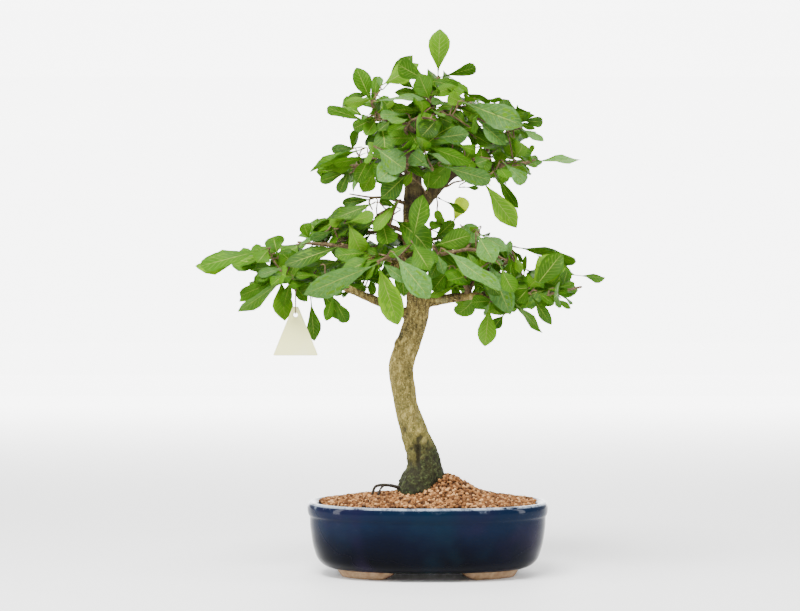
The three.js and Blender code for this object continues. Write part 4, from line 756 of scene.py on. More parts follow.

# %% [markdown]
# ## The leafy shoots
#
# Every shoot is a stem, its twigs and their leaves. The lists below give where each one grows. A listed leaf
# is written down as it is seen from the front: its root and its tip on the plane through the middle of the
# pot, and how deep it lies. It is moved forward or back until it clears what stands already. The others are
# laid by a rule, on alternate sides of the twig, drooping, face up and away from the trunk, and only where
# the crown is leafy, so that the light still comes through its chinks.

# %% The shoots' layout
# stem: its points. thick: its radius at both ends. twigs: where on the stem, the end's x, y, z, and how
# many leaves by rule. leaves: the root's x and z, the tip's x and z, the depth y, the width, and what it
# shows: 0 its upper side, 1 that with a bloom and a painted sheen on it, 2 its underside, 3 a yellow upper
# side. More listed leaves, most of them small, follow in a list of their own: the CAD model doesn't have
# those.
SPRAYS = {
    "low_right_end": dict(
        thick=(3.8, 1.4),
        stem=[(82, -16, 354), (108, -18, 352), (134, -16, 356), (160, -12, 361), (184, -8, 366),
            (198, -6, 369)],
        twigs=[(0.06, 90, -44, 348, 1), (0.22, 112, 14, 376, 5), (0.36, 122, -46, 360, 1),
            (0.52, 146, 22, 376, 5), (0.66, 154, -36, 366, 1), (0.76, 172, 24, 372, 4),
            (0.84, 172, -30, 370, 1)],
        leaves=[(141, 377, 172, 411, -26, 36, 2), (183, 385, 229, 380, -10, 11, 0),
            (162, 362, 130, 367, -32, 10, 0), (114, 347, 149, 309, -38, 13, 0),
            (138, 352, 160, 320, -50, 15, 0), (80, 345, 74, 292, -56, 25, 2),
            (86, 358, 57, 349, -26, 19, 0), (80, 356, 101, 335, -40, 13, 0)],
    ),
    "low_right_front": dict(
        thick=(2.8, 1.4),
        stem=[(10, -24, 409), (30, -38, 413), (52, -46, 416), (76, -54, 412), (98, -60, 402)],
        twigs=[(0.2, 12, -56, 410, 1), (0.45, 64, -30, 436, 1), (0.7, 90, -74, 396, 1),
            (0.85, 108, -40, 406, 1)],
        leaves=[(8, 422, 56, 436, -60, 28, 0), (44, 447, 61, 426, -48, 13, 1),
            (64, 438, 86, 400, -66, 30, 1), (30, 411, 95, 364, -88, 20, 1), (68, 384, 94, 358, -76, 18, 0),
            (82, 394, 107, 333, -64, 32, 1)],
    ),
    "low_right_rise": dict(
        thick=(3, 1.4),
        stem=[(50, -11, 355), (60, -6, 376), (76, 0, 390), (98, 4, 398), (114, 6, 408)],
        twigs=[(0.35, 46, -26, 382, 1), (0.5, 56, 22, 404, 4), (0.7, 88, -22, 390, 1),
            (0.8, 106, 30, 410, 4), (0.9, 116, -20, 398, 1)],
        leaves=[(111, 421, 192, 401, -4, 12, 1), (66, 438, 104, 416, -42, 16, 1),
            (104, 412, 113, 380, -18, 15, 0), (124, 381, 127, 410, -22, 6, 0),
            (72, 402, 52, 378, -12, 20, 0), (28, 392, 6, 364, -24, 22, 0), (30, 368, 1, 356, -22, 12, 2),
            (33, 369, 45, 340, 12, 12, 2)],
    ),
    "low_right_back": dict(
        thick=(3.6, 1.4),
        stem=[(66, -13, 356), (80, 18, 364), (102, 50, 372), (124, 78, 374), (140, 98, 370)],
        twigs=[(0.25, 56, 40, 376, 4), (0.55, 86, 82, 386, 5), (0.7, 148, 62, 384, 4), (1, 150, 112, 368, 3)],
    ),
    "front_low": dict(
        thick=(3.6, 1.5),
        stem=[(-32, -30, 403), (-42, -46, 406), (-52, -60, 405), (-64, -70, 400)],
        twigs=[(0.2, -20, -58, 424, 0), (0.5, -74, -50, 412, 1), (0.3, -34, -62, 408, 0)],
        leaves=[(-66, 398, -160, 359, -92, 31, 1), (-64, 397, -38, 320, -80, 31, 2),
            (-58, 396, -24, 374, -66, 15, 1), (-40, 408, 3, 354, -86, 33, 1),
            (-20, 427, 3, 390, -76, 30, 0), (-24, 424, -50, 409, -48, 12, 0),
            (-19, 431, -6, 488, -66, 28, 0)],
    ),
    "low_left_end": dict(
        thick=(4, 2.6),
        stem=[(-130, -22, 375), (-150, -24, 378), (-169, -24, 380), (-184, -25, 385)],
        twigs=[(1, -203, -27, 414, 0), (0.9, -190, 2, 388, 4), (0.75, -190, -42, 378, 0),
            (0.35, -144, 8, 390, 5), (0.95, -211, -32, 351, 0), (0.3, -150, -14, 356, 1)],
        leaves=[(-196, 413, -300, 396, -32, 25, 2), (-188, 400, -223, 392, -22, 15, 0),
            (-180, 396, -218, 384, -48, 13, 1), (-183, 384, -245, 337, -42, 17, 0),
            (-212, 378, -243, 350, -24, 15, 2), (-188, 366, -184, 325, 10, 27, 2),
            (-178, 372, -186, 343, -4, 15, 0), (-172, 372, -155, 350, 4, 16, 0),
            (-152, 352, -146, 299, -12, 19, 0)],
    ),
    "low_left_front": dict(
        thick=(3, 1.4),
        stem=[(-104, -18, 367), (-110, -38, 372), (-122, -56, 376), (-138, -70, 380)],
        twigs=[(0.5, -100, -56, 374, 1), (0.35, -122, -36, 358, 1)],
        leaves=[(-126, 357, -131, 325, -44, 14, 0), (-120, 356, -104, 323, -38, 18, 0),
            (-140, 396, -166, 388, -54, 8, 0)],
    ),
    "low_left_back": dict(
        thick=(3.4, 1.4),
        stem=[(-80, -12, 357), (-90, 18, 366), (-108, 46, 374), (-130, 72, 376)],
        twigs=[(0.3, -70, 42, 372, 4), (0.5, -128, 28, 382, 4), (0.7, -96, 78, 384, 5),
            (1, -152, 84, 372, 4)],
    ),
    "middle_left_end": dict(
        thick=(3.8, 1.4),
        stem=[(-102, -20, 420), (-122, -23, 422), (-146, -24, 424), (-166, -22, 426)],
        twigs=[(0.12, -122, -26, 448, 1), (0.4, -138, 12, 430, 4), (0.8, -170, 7, 424, 3)],
        leaves=[(-118, 420, -185, 397, -50, 22, 0), (-98, 405, -155, 393, -22, 15, 0),
            (-104, 428, -112, 399, -8, 18, 2), (-118, 443, -152, 430, -50, 12, 1),
            (-140, 436, -168, 421, -38, 6, 1)],
    ),
    "middle_left_back": dict(
        thick=(3.2, 1.4),
        stem=[(-62, -9, 408), (-76, 20, 418), (-98, 46, 428), (-122, 66, 430)],
        twigs=[(0.4, -52, 44, 426, 4), (0.55, -112, 26, 434, 4), (0.75, -90, 78, 434, 4),
            (1, -142, 78, 426, 3)],
    ),
    "middle_left_rise": dict(
        thick=(3, 1.4),
        stem=[(-22, 0, 436), (-44, -8, 446), (-66, -16, 452), (-86, -24, 456)],
        twigs=[(0.4, -44, -30, 462, 1), (0.6, -66, 14, 462, 2), (1, -104, -30, 456, 1)],
        leaves=[(-82, 474, -126, 459, -24, 16, 0), (-106, 458, -148, 441, -16, 13, 0),
            (-104, 452, -69, 462, -52, 17, 2), (-99, 456, -85, 412, -40, 25, 2),
            (-60, 460, -51, 424, -50, 28, 0), (-38, 480, -70, 441, -32, 16, 2),
            (-36, 470, -62, 482, -16, 12, 0)],
    ),
    "back_low": dict(
        thick=(3.8, 1.4),
        stem=[(2, 50, 408), (16, 72, 414), (32, 94, 414), (46, 112, 408)],
        twigs=[(0.15, -20, 72, 414, 4), (0.3, 46, 60, 418, 4), (0.55, 2, 104, 418, 4),
            (0.7, 68, 88, 416, 4), (1, 60, 126, 400, 3)],
    ),
    "back_left": dict(
        thick=(3.4, 1.5),
        stem=[(-52, 42, 441), (-70, 58, 442), (-88, 76, 440)],
        twigs=[(0.2, -38, 62, 445, 4), (0.5, -96, 46, 447, 3), (0.8, -70, 94, 440, 4), (1, -112, 86, 434, 4)],
    ),
    "middle_right": dict(
        thick=(2.2, 1.2),
        stem=[(-10, 2, 438), (6, -6, 444), (20, -10, 448), (32, -10, 450)],
        twigs=[(0.45, 12, -16, 470, 0)],
        leaves=[(32, 451, 48, 484, -12, 20, 3), (14, 484, 48, 464, -24, 8, 0)],
    ),
    "middle_right_back": dict(
        thick=(3, 1.3),
        stem=[(-14, 10, 424), (2, 28, 430), (22, 44, 434), (44, 54, 432)],
        twigs=[(0.4, -12, 52, 436, 3), (0.7, 52, 32, 438, 4), (0.9, 34, 78, 436, 4), (1, 70, 62, 428, 3)],
    ),
    "high_right_end": dict(
        thick=(4.2, 1.4),
        stem=[(72, -2, 523), (98, -4, 526), (124, -6, 528), (138, -7, 532)],
        twigs=[(0.15, 84, -32, 516, 1), (0.3, 96, 28, 534, 4), (0.55, 108, -28, 532, 1),
            (0.7, 122, 22, 538, 4)],
        leaves=[(135, 534, 198, 533, -8, 12, 1), (128, 529, 103, 551, -4, 18, 0),
            (98, 530, 126, 503, -50, 19, 1), (72, 504, 115, 445, -48, 27, 2),
            (94, 504, 117, 470, -32, 13, 0), (106, 566, 135, 528, -31, 10, 1)],
    ),
    "high_right_front": dict(
        thick=(3, 1.4),
        stem=[(42, 1, 520), (52, -24, 528), (64, -44, 532), (78, -58, 530)],
        twigs=[(0.4, 28, -40, 536, 0), (0.7, 84, -38, 544, 1)],
        leaves=[(16, 526, 82, 506, -66, 22, 1), (62, 549, 106, 551, -34, 7, 0),
            (44, 540, 72, 528, -26, 14, 0)],
    ),
    "high_right_back": dict(
        thick=(3.4, 1.4),
        stem=[(56, 0, 522), (64, 28, 532), (76, 54, 540), (90, 76, 542)],
        twigs=[(0.5, 92, 38, 550, 4), (0.7, 52, 74, 550, 4), (1, 104, 90, 538, 4)],
    ),
    "high_right_rise": dict(
        thick=(3, 1.3),
        stem=[(66, -1, 522), (76, 4, 544), (92, 6, 562), (112, 4, 574)],
        twigs=[(0.4, 60, -22, 560, 1), (0.5, 96, 28, 566, 4), (0.75, 80, -28, 576, 1),
            (0.9, 120, -16, 572, 1), (1, 122, 18, 576, 2)],
        leaves=[(64, 586, 101, 552, -46, 22, 1), (118, 585, 149, 581, -10, 14, 0),
            (121, 571, 150, 557, -24, 10, 1), (52, 570, 80, 553, -22, 18, 0)],
    ),
    "high_left_end": dict(
        thick=(3.2, 1.2),
        stem=[(-60, -10, 520), (-86, -14, 524), (-110, -16, 522), (-130, -16, 519)],
        twigs=[(0.2, -74, -34, 534, 1), (0.4, -92, 20, 532, 4), (0.3, -90, -30, 540, 0),
            (0.75, -118, 12, 522, 3)],
        leaves=[(-84, 547, -152, 517, -44, 12, 1), (-98, 546, -142, 522, -16, 20, 0),
            (-68, 541, -122, 528, -28, 14, 2), (-74, 530, -92, 503, -38, 20, 0),
            (-106, 517, -139, 505, -8, 13, 0), (-98, 520, -114, 490, -20, 15, 0),
            (-70, 516, -84, 491, -26, 22, 2)],
    ),
    "high_left_back": dict(
        thick=(3, 1.4),
        stem=[(-44, -5, 514), (-58, 22, 522), (-76, 46, 526), (-94, 60, 524)],
        twigs=[(0.4, -36, 42, 532, 3), (0.55, -92, 30, 530, 4), (0.75, -70, 74, 530, 4),
            (1, -108, 70, 516, 4)],
    ),
    "high_front": dict(
        thick=(3, 1.6),
        stem=[(-24, -28, 517), (-28, -44, 526), (-30, -60, 532)],
        twigs=[(0.4, -46, -56, 536, 0), (0.7, -4, -62, 538, 0), (0.2, -10, -36, 500, 0)],
        leaves=[(-67, 549, -29, 520, -88, 33, 1), (-38, 529, -64, 506, -74, 31, 1),
            (-34, 507, -60, 483, -60, 28, 0), (5, 521, -21, 541, -78, 24, 1),
            (-2, 541, 38, 531, -64, 14, 1), (-4, 552, 58, 528, -50, 20, 0), (-1, 491, 3, 518, -40, 16, 0)],
    ),
    "high_back": dict(
        thick=(3.2, 1.5),
        stem=[(-14, 44, 519), (-18, 62, 526), (-24, 82, 526)],
        twigs=[(0.1, 12, 60, 532, 4), (0.4, -46, 70, 534, 4), (0.7, -2, 92, 532, 4), (1, -44, 98, 520, 4)],
    ),
    "top_left": dict(
        thick=(2.8, 1.4),
        stem=[(-54, -6, 585), (-64, -8, 590), (-70, -9, 600), (-73, -10, 610)],
        twigs=[(0.9, -60, -14, 622, 0), (0.3, -80, 14, 588, 2), (0.15, -66, -20, 582, 0)],
        leaves=[(-72, 608, -92, 652, -14, 24, 0), (-70, 606, -65, 641, -4, 12, 0),
            (-74, 618, -103, 613, -6, 10, 0), (-74, 611, -108, 605, -24, 13, 2),
            (-80, 607, -110, 603, -14, 6, 1), (-79, 583, -130, 600, -20, 13, 0),
            (-62, 585, -80, 564, -28, 18, 0), (-54, 632, -11, 657, -20, 27, 2),
            (-64, 608, -4, 611, -46, 10, 1)],
    ),
    "top_front": dict(
        thick=(3, 1.4),
        stem=[(-24, 0, 560), (-26, -22, 572), (-20, -42, 580), (-6, -56, 582)],
        twigs=[(0.5, -44, -38, 580, 0), (0.75, 4, -37, 597, 0), (1, 10, -64, 578, 0)],
        leaves=[(-24, 561, -52, 561, -56, 20, 0), (16, 586, -8, 563, -76, 28, 0),
            (12, 561, 54, 567, -64, 24, 1), (-12, 596, -44, 598, -32, 17, 0)],
    ),
    "top_right": dict(
        thick=(2.4, 1.3),
        stem=[(-6, 3, 592), (14, -14, 592), (36, -24, 600), (60, -30, 609)],
        twigs=[(0.4, 30, -44, 586, 0), (0.6, 56, -6, 604, 1)],
        leaves=[(58, 603, 123, 577, -56, 34, 1), (42, 621, 81, 606, -12, 8, 0),
            (62, 613, 97, 609, -20, 7, 1), (52, 577, 32, 596, -42, 16, 0), (8, 600, 36, 603, -20, 11, 0)],
    ),
    "top_right_back": dict(
        thick=(2.6, 1.3),
        stem=[(-1, 4, 602), (20, 18, 608), (44, 30, 602), (66, 36, 588)],
        twigs=[(0.35, 14, 44, 612, 3), (0.6, 56, 12, 602, 4), (1, 80, 52, 578, 4)],
    ),
    "top_back": dict(
        thick=(3.2, 1.4),
        stem=[(-26, 2, 562), (-26, 24, 576), (-22, 46, 586), (-16, 62, 586)],
        twigs=[(0.4, -50, 36, 586, 4), (0.6, 6, 46, 588, 4), (0.85, -36, 74, 584, 4), (1, 2, 82, 574, 4)],
    ),
    "apex": dict(
        thick=(2.6, 1.3),
        stem=[(8, 4, 624), (12, 3, 634), (14, 2, 642)],
        twigs=[(0.1, -10, -12, 630, 0), (0.3, 28, 10, 634, 2), (0.2, -8, 22, 632, 3)],
        leaves=[(13, 642, 16, 702, -4, 28, 2), (19, 640, 63, 652, -12, 15, 0),
            (4, 632, -38, 656, -34, 24, 0), (2, 612, -12, 645, -44, 26, 0), (2, 636, 40, 627, -20, 16, 0),
            (8, 618, 36, 628, -34, 16, 2), (-8, 618, -43, 620, -10, 14, 0)],
    ),
}
MORE_LEAVES = {
    "low_right_end": [(170, 373, 181, 391, -34, 15, 0), (171, 369, 190, 373, -20, 9, 0),
        (146, 359, 163, 346, -44, 9, 0), (164, 354, 185, 341, -40, 8, 0), (131, 368, 114, 349, -54, 21, 0),
        (96, 330, 84, 315, -44, 15, 0), (145, 377, 174, 413, -20, 28, 0)],
    "low_right_front": [(12, 408, 21, 385, -64, 14, 1), (68, 447, 55, 441, -28, 9, 2),
        (32, 412, 8, 420, -22, 14, 0), (12, 427, 68, 442, -40, 25, 1)],
    "low_right_rise": [(104, 411, 107, 429, -32, 9, 1), (107, 420, 124, 402, -30, 7, 0),
        (112, 410, 121, 387, -26, 11, 2), (113, 378, 128, 380, -30, 8, 0), (92, 402, 84, 386, -34, 14, 0),
        (48, 402, 36, 379, -34, 17, 2)],
    "front_low": [(-72, 398, -80, 378, -72, 8, 2), (-62, 412, -78, 418, -54, 10, 0),
        (-36, 404, -30, 356, -34, 20, 0)],
    "low_left_end": [(-204, 419, -220, 400, -14, 24, 0), (-194, 412, -199, 434, -22, 27, 0),
        (-192, 413, -175, 416, -30, 7, 0), (-203, 375, -220, 358, -12, 13, 0),
        (-213, 417, -293, 396, -38, 25, 0), (-132, 357, -109, 325, -30, 20, 0),
        (-206, 373, -242, 357, -30, 17, 0), (-136, 376, -164, 362, -10, 15, 0)],
    "low_left_back": [(-102, 370, -79, 365, -22, 15, 0), (-78, 392, -100, 378, 2, 14, 0),
        (-74, 382, -70, 358, 14, 11, 0)],
    "middle_left_end": [(-150, 431, -160, 451, -26, 17, 0)],
    "middle_left_rise": [(-108, 457, -126, 450, -36, 12, 2), (-82, 472, -121, 457, -30, 18, 0),
        (-37, 479, -67, 443, -24, 23, 0), (-74, 482, -110, 477, -14, 13, 0)],
    "middle_right": [(8, 459, 21, 450, -18, 10, 2), (20, 452, 2, 447, -30, 12, 0),
        (22, 449, 10, 467, -22, 11, 2), (9, 431, 34, 454, -28, 15, 0)],
    "high_right_end": [(137, 531, 148, 529, -14, 7, 1), (104, 528, 102, 552, -18, 11, 2),
        (91, 516, 97, 542, -28, 16, 2), (96, 514, 82, 526, -36, 14, 0), (46, 498, 66, 496, -18, 6, 0),
        (132, 540, 136, 552, -12, 7, 2)],
    "high_right_front": [(84, 542, 62, 528, -46, 18, 0), (40, 552, 62, 545, -36, 12, 0),
        (24, 524, 11, 513, -30, 11, 0)],
    "high_right_rise": [(119, 580, 139, 573, 2, 9, 0), (122, 571, 129, 560, -12, 9, 0),
        (66, 591, 53, 583, -32, 12, 2), (112, 552, 101, 568, -28, 11, 0)],
    "high_left_end": [(-64, 538, -76, 556, -26, 10, 2), (-100, 522, -124, 520, -26, 12, 2),
        (-88, 515, -96, 491, -30, 7, 1), (-66, 535, -80, 512, -46, 13, 0),
        (-86, 549, -124, 546, -18, 13, 1)],
    "high_front": [(-22, 514, -30, 498, -50, 10, 2)],
    "top_left": [(-74, 584, -96, 573, -8, 17, 0), (-47, 584, -64, 570, -16, 14, 0),
        (-60, 597, -44, 611, -12, 12, 2), (-58, 627, -62, 641, -8, 9, 1), (-51, 631, -19, 668, -12, 21, 0)],
    "top_front": [(-36, 592, -61, 591, -38, 12, 1), (14, 588, 32, 580, -46, 14, 0),
        (-16, 572, -22, 585, -34, 8, 1)],
    "top_right": [(50, 605, 26, 615, -34, 18, 2), (28, 604, 4, 610, -44, 10, 1)],
    "apex": [(-22, 628, -40, 641, 2, 12, 0)],
}
# The leafy part of the crown and the chinks of light in it, as ovals seen from the front: the middle's x
# and z, half the width and half the height.
CROWN = [(0, 630, 44, 20), (60, 594, 72, 26), (112, 572, 38, 22), (-6, 578, 50, 36), (-80, 592, 42, 26),
    (-78, 524, 72, 30), (-2, 528, 62, 32), (84, 526, 60, 28), (-200, 396, 56, 28), (-128, 382, 66, 28),
    (-106, 440, 58, 24), (-36, 410, 68, 42), (54, 402, 68, 38), (76, 352, 56, 26), (142, 378, 58, 36)]
CHINKS = [(-46, 599, 5, 8), (-84, 596, 13, 7), (-21, 632, 8, 7), (92, 537, 8, 8), (114, 546, 6, 7),
    (129, 549, 7, 9), (115, 565, 5, 4), (14, 516, 6, 11), (55, 476, 42, 27), (-68, 437, 12, 12),
    (-43, 447, 5, 17), (-139, 406, 19, 11), (-122, 430, 8, 6), (5, 437, 4, 12), (98, 390, 5, 10),
    (134, 398, 6, 13), (157, 378, 8, 7), (-77, 494, 36, 9)]
TAG_X, TAG_Y, TAG_TOP, TAG_BOTTOM, TAG_HALF_TOP, TAG_HALF_BOTTOM = -169.0, -24.0, 343.5, 281.0, 3.6, 29.0
LEAF_LENGTH, LEAST_WIDTH, STALK, TIP_FORM = 60.0, 0.38, 0.1, 0.75
TWIG_RADII, SHOOT_RADII = (1.9, 0.9), (1.1, 0.8)
SHOOT_BEND, SHOOT_ROOM, LEAST_SHOOT, MOST_SHOOT = 0.8, 1.6, 9.0, 90.0
CLEARANCE, OWN_CLEARANCE, SAMPLE_STEP = 8.0, 3.5, 7.5
STEM_ROOM, TRUNK_ROOM, TAG_ROOM, TIE_REACH = 2.4, 3.0, 6.0, 40.0
UP = np.array([0, 0, 1.0])


# %% The blade as a formula
def half_width(leaf, s):
    """Half the blade's width at s, 0 at its root to 1 at its tip: x^form (1-x)^tip after a bare stalk, as a
    share of that at the widest point. A high form gives a long keen base, and a low tip a round end."""
    x = np.clip((s - STALK) / (1 - STALK), 0, 1)
    form, tip = leaf["form"], leaf["tip"]
    peak = form / (form + tip)
    return leaf["width"] / 2 * x**form * (1 - x) ** tip / (peak**form * (1 - peak) ** tip)


def blade_turn(leaf, s):
    """The directions across and out of the blade at s, which turn with its twist."""
    angle = (leaf["twist"] * (s - 0.5))[..., None]
    across = leaf["side"] * np.cos(angle) - leaf["normal"] * np.sin(angle)
    return across, leaf["normal"] * np.cos(angle) + leaf["side"] * np.sin(angle)


def blade(leaf, s, v, least=0.0):
    """Points on the blade, v from -1 to 1 across. Its line arches by 4 s (1-s) along the normal and sways
    by the same to its side. Across it, the blade is folded up along the midrib by |v| and rippled near
    its edges by sin(9 s) v^2. It is never narrower than least, so that the stalk has a width."""
    half = np.maximum(half_width(leaf, s), least)
    ripple = leaf["wave"] * half * np.sin(9 * s + leaf["phase"] + np.where(v > 0, 1.3, 0)) * v * v
    across, out = blade_turn(leaf, s)
    bow = 4 * s * (1 - s) * leaf["length"]
    spine = leaf["along"] * (leaf["length"] * s + 0 * v)[..., None]
    spine = spine + leaf["side"] * (leaf["sway"] * bow)[..., None]
    spine = leaf["root"] + spine + leaf["normal"] * (leaf["arch"] * bow)[..., None]
    lift = leaf["fold"] * half * np.abs(v) + ripple
    return spine + across * (half * v)[..., None] + out * lift[..., None]


def leaf_between(root, tip, face, turn, shape):
    """A leaf from its root to its tip, its upper side along face as far as its length allows, then turned
    about its own length by turn radians."""
    along = tip - root
    length = math.sqrt(along @ along)
    along = along / length
    normal = face - along * (face @ along)
    normal = normal / math.sqrt(normal @ normal)
    normal = normal * math.cos(turn) + np.cross(along, normal) * math.sin(turn)
    return dict(shape, root=root, along=along, normal=normal, side=np.cross(along, normal), length=length)


# %% Room between leaves
def leaf_samples(leaf):
    """Points spread over the blade, as many as its size needs."""
    rows = math.ceil(0.8 * leaf["length"] / SAMPLE_STEP)
    columns = max(math.ceil(leaf["width"] / SAMPLE_STEP), 2)
    s = 0.2 + 0.8 * np.arange(rows + 1)[:, None] / rows
    v = 0.94 * (2 * np.arange(columns + 1)[None] / columns - 1)
    return blade(leaf, s, v).reshape(-1, 3)


WOOD, TAG = -1, -2  # what isn't of a spray, numbered 0, 1, 2 ...
LEAF_OWNER, SHOOT_OWNER, OTHER_OWNER = -1, -2, -3  # what isn't a twig, numbered 100 for each spray


class Standing:
    """What stands already: points with a radius, the spray that each is of, and its twig. The leaves of
    one spray may come nearer to each other, as own_radius says."""

    def __init__(self):
        self.point, self.numbers, self.count = np.empty((60000, 3)), np.empty((60000, 4)), 0

    def add(self, points, radius, own_radius, spray, owner):
        end = self.count + len(points)
        self.point[self.count:end] = points
        for k, value in enumerate((radius, own_radius, spray, owner)):
            self.numbers[self.count:end, k] = value
        self.count = end

    def add_stem(self, points, thick, spray, owner):
        t = np.linspace(0, 1, 5 * (len(points) - 1) + 1)
        radius = thick[0] + (thick[1] - thick[0]) * t + STEM_ROOM
        self.add(on_curve(points, t), radius, radius, spray, owner)

    def add_leaf(self, leaf):
        self.add(leaf_samples(leaf), CLEARANCE, OWN_CLEARANCE, leaf["spray"], LEAF_OWNER)
        if leaf["start"] is not None:
            self.add_stem([leaf["start"], leaf["root"]], SHOOT_RADII, leaf["spray"], SHOOT_OWNER)

    def room(self, leaf):
        """The least distance from the leaf to anything but its own twig, less that thing's radius."""
        p, (radius, own_radius, spray, owner) = self.point[:self.count], self.numbers[:self.count].T
        middle = blade(leaf, np.array(0.6), np.array(0.0))
        apart = p - middle
        far = np.einsum("ij,ij->i", apart, apart)
        near = (far < (leaf["length"] + radius) ** 2) & (owner != leaf["owner"])
        room = 99.0
        if near.any():
            reach = np.where(spray[near] == leaf["spray"], own_radius[near], radius[near])
            room = (distances(leaf_samples(leaf), p[near]) - reach).min()
        if leaf["start"] is not None:
            apart = p - leaf["root"]
            other = (np.einsum("ij,ij->i", apart, apart) < MOST_SHOOT**2) & (spray != leaf["spray"])
            if other.any():
                on = leaf["start"] + (leaf["root"] - leaf["start"]) * np.array([0.25, 0.5, 0.75, 1])[:, None]
                room = min(room, (distances(on, p[other]) - radius[other] + SHOOT_ROOM).min())
        return room


def distances(here, there):
    """Each distance between two sets of points, by |a-b|^2 = |a|^2 + |b|^2 - 2 a.b."""
    middle = here.mean(axis=0)
    here, there = here - middle, there - middle
    square = (here**2).sum(axis=1)[:, None] + (there**2).sum(axis=1) - 2 * here @ there.T
    return np.sqrt(np.maximum(square, 0))


# %% Where leaves go
TREE_AXIS = np.array([-16.0, 0, 0])
FACE_FRONT = np.array([0, -0.9, 0.44])
BENDS = (0, -6, 6, -12, 12, -18, 18, -24, 24, -30, 30, -36, 36)
FOLIAGE_SEED, TRIES = 4000, 6
FIRST_AT, SPREAD_OVER = 0.3, 0.66
reach_low, reach_high = ((np.array(corner) - layout_origin) / MM for corner in cad_box)
eye, crown, chinks = np.array(CAMERA_AT, float), np.array(CROWN, float), np.array(CHINKS, float)


def seeded_draw(seed):
    """Repeatable numbers from 0 to 1 by the usual linear rule."""
    state = seed

    def draw():
        nonlocal state
        state = (state * 1664525 + 1013904223) & 0xFFFFFFFF
        return state / 4294967296

    return draw


def seen_at(x, z, y):
    """The point at depth y that the camera sees at x and z on the plane through the pot's middle."""
    far = 1 - y / eye[1]
    return np.array([eye[0] + (x - eye[0]) * far, y, eye[2] + (z - eye[2]) * far])


def seen_from(points):
    """And back: the x and z at which the camera sees points."""
    return eye[[0, 2]] + (points[..., [0, 2]] - eye[[0, 2]]) / (1 - points[..., 1:2] / eye[1])


def shows_in_crown(leaf, whole=False):
    """True if the leaf's tip and both sides, or with whole the middle of its base too, are seen in the
    leafy part of the crown."""
    s, v = np.array([(1, 0), (0.6, -0.8), (0.6, 0.8), (0.25, 0)][:4 if whole else 3]).T
    at = seen_from(blade(leaf, s, v))[:, None]
    leafy, light = [(((at - o[:, :2]) / o[:, 2:]) ** 2).sum(axis=2) < 1 for o in (crown, chinks)]
    return leafy.any(axis=1).all() and not light.any()


def shoot_start(twigs, root, tip):
    """Where on the spray a leaf's shoot starts: near its root, and behind it as the leaf runs. The cost is
    the way's length and 0.8 of what that is over its part along the leaf."""
    way = root - twigs[0]["starts"]
    length = np.sqrt((way**2).sum(axis=1))
    cost = length + SHOOT_BEND * (length - way @ unit(tip - root))
    k = np.argmin(cost)
    return twigs[0]["starts"][k], twigs[0]["start_owners"][k]


def chosen_leaf(twigs, row, draw, standing):
    """A listed leaf, moved forward or back until it clears what stands already. One that is seen
    narrower than a leaf is has its face turned away."""
    root_x, root_z, tip_x, tip_z, depth, width, shows = row
    d = [draw() for _ in range(8)]
    sign, under = (-1 if d[7] < 0.5 else 1), (-1 if shows == 2 else 1)
    best, best_room = None, -np.inf
    for bend in BENDS:
        y = depth + bend
        tip = seen_at(tip_x, tip_z, y)
        start, owner = shoot_start(twigs, seen_at(root_x, root_z, y), tip)
        root = seen_at(root_x, root_z, (start[1] + y) / 2)
        length = np.linalg.norm(tip - root)
        real = max(width, LEAST_WIDTH * length)
        turn = sign * (math.acos(width / real) + 0.3 * d[6])
        shape = dict(width=real, arch=under * (0.03 + 0.08 * d[0]), fold=0.03 + 0.1 * d[1],
            form=1 + 0.5 * d[2], wave=0.08 + 0.14 * d[3], phase=6 * d[3], twist=0.9 * (d[4] - 0.5),
            sway=0.1 * (d[5] - 0.5), spray=twigs[0]["spray"], owner=owner, start=None, shows=shows,
            tip=TIP_FORM, seen=width)
        if np.linalg.norm(root - start) > LEAST_SHOOT:
            shape["start"] = start
        else:
            root = start
        leaf = leaf_between(root, tip, FACE_FRONT * under, turn, shape)
        room = standing.room(leaf)
        if room > best_room:
            best, best_room = leaf, room
        if room > 0:
            break
    return best, best_room


def ruled_leaf(twig, at, end, sign, draw, scale=1.0, hang=0.0):
    """One try at a leaf on a twig. With hang, from 0 to 1, it droops more and faces the front."""
    root = on_curve(twig["points"], at)
    along = unit(root - on_curve(twig["points"], at - 0.05))
    level = unit(np.cross(along, UP))
    raised = np.cross(level, along)
    d = [draw() for _ in range(10)]
    spread = (d[0] - 0.5) * 2.6
    radial = level * sign * math.cos(spread) + raised * math.sin(spread)
    away = unit((root - TREE_AXIS) * np.array([1, 1, 0]))
    onward, outward = (1, 0.35) if end else (0.5, 0.85)
    rise = 0.25 - 0.35 * hang - 0.95 * d[1]
    direction = along * onward + radial * outward + away * 0.2 + UP * rise
    length = LEAF_LENGTH * (0.68 + 0.46 * d[2]) * scale
    shape = dict(width=length * (0.4 + 0.16 * d[3]), arch=0.04 + 0.12 * d[4], fold=0.04 + 0.12 * d[5],
        form=1 + 0.5 * d[6], wave=0.08 + 0.14 * d[7], phase=6 * d[7], twist=1.2 * (d[8] - 0.5),
        sway=0.14 * (d[9] - 0.5), spray=twig["spray"], owner=twig["owner"], start=None, shows=0,
        tip=TIP_FORM, seen=None)
    face = UP * (0.9 - 0.5 * hang) + away * (0.9 - 0.3 * hang) + FACE_FRONT * hang
    return leaf_between(root, root + unit(direction) * length, face, (d[6] - 0.5) * (1.9 - 0.9 * hang), shape)


def inside_reach(leaf):
    """True if the whole leaf lies in the CAD model's box."""
    points = leaf_samples(leaf)
    return (points > reach_low + 2).all() and (points < reach_high - 2).all()


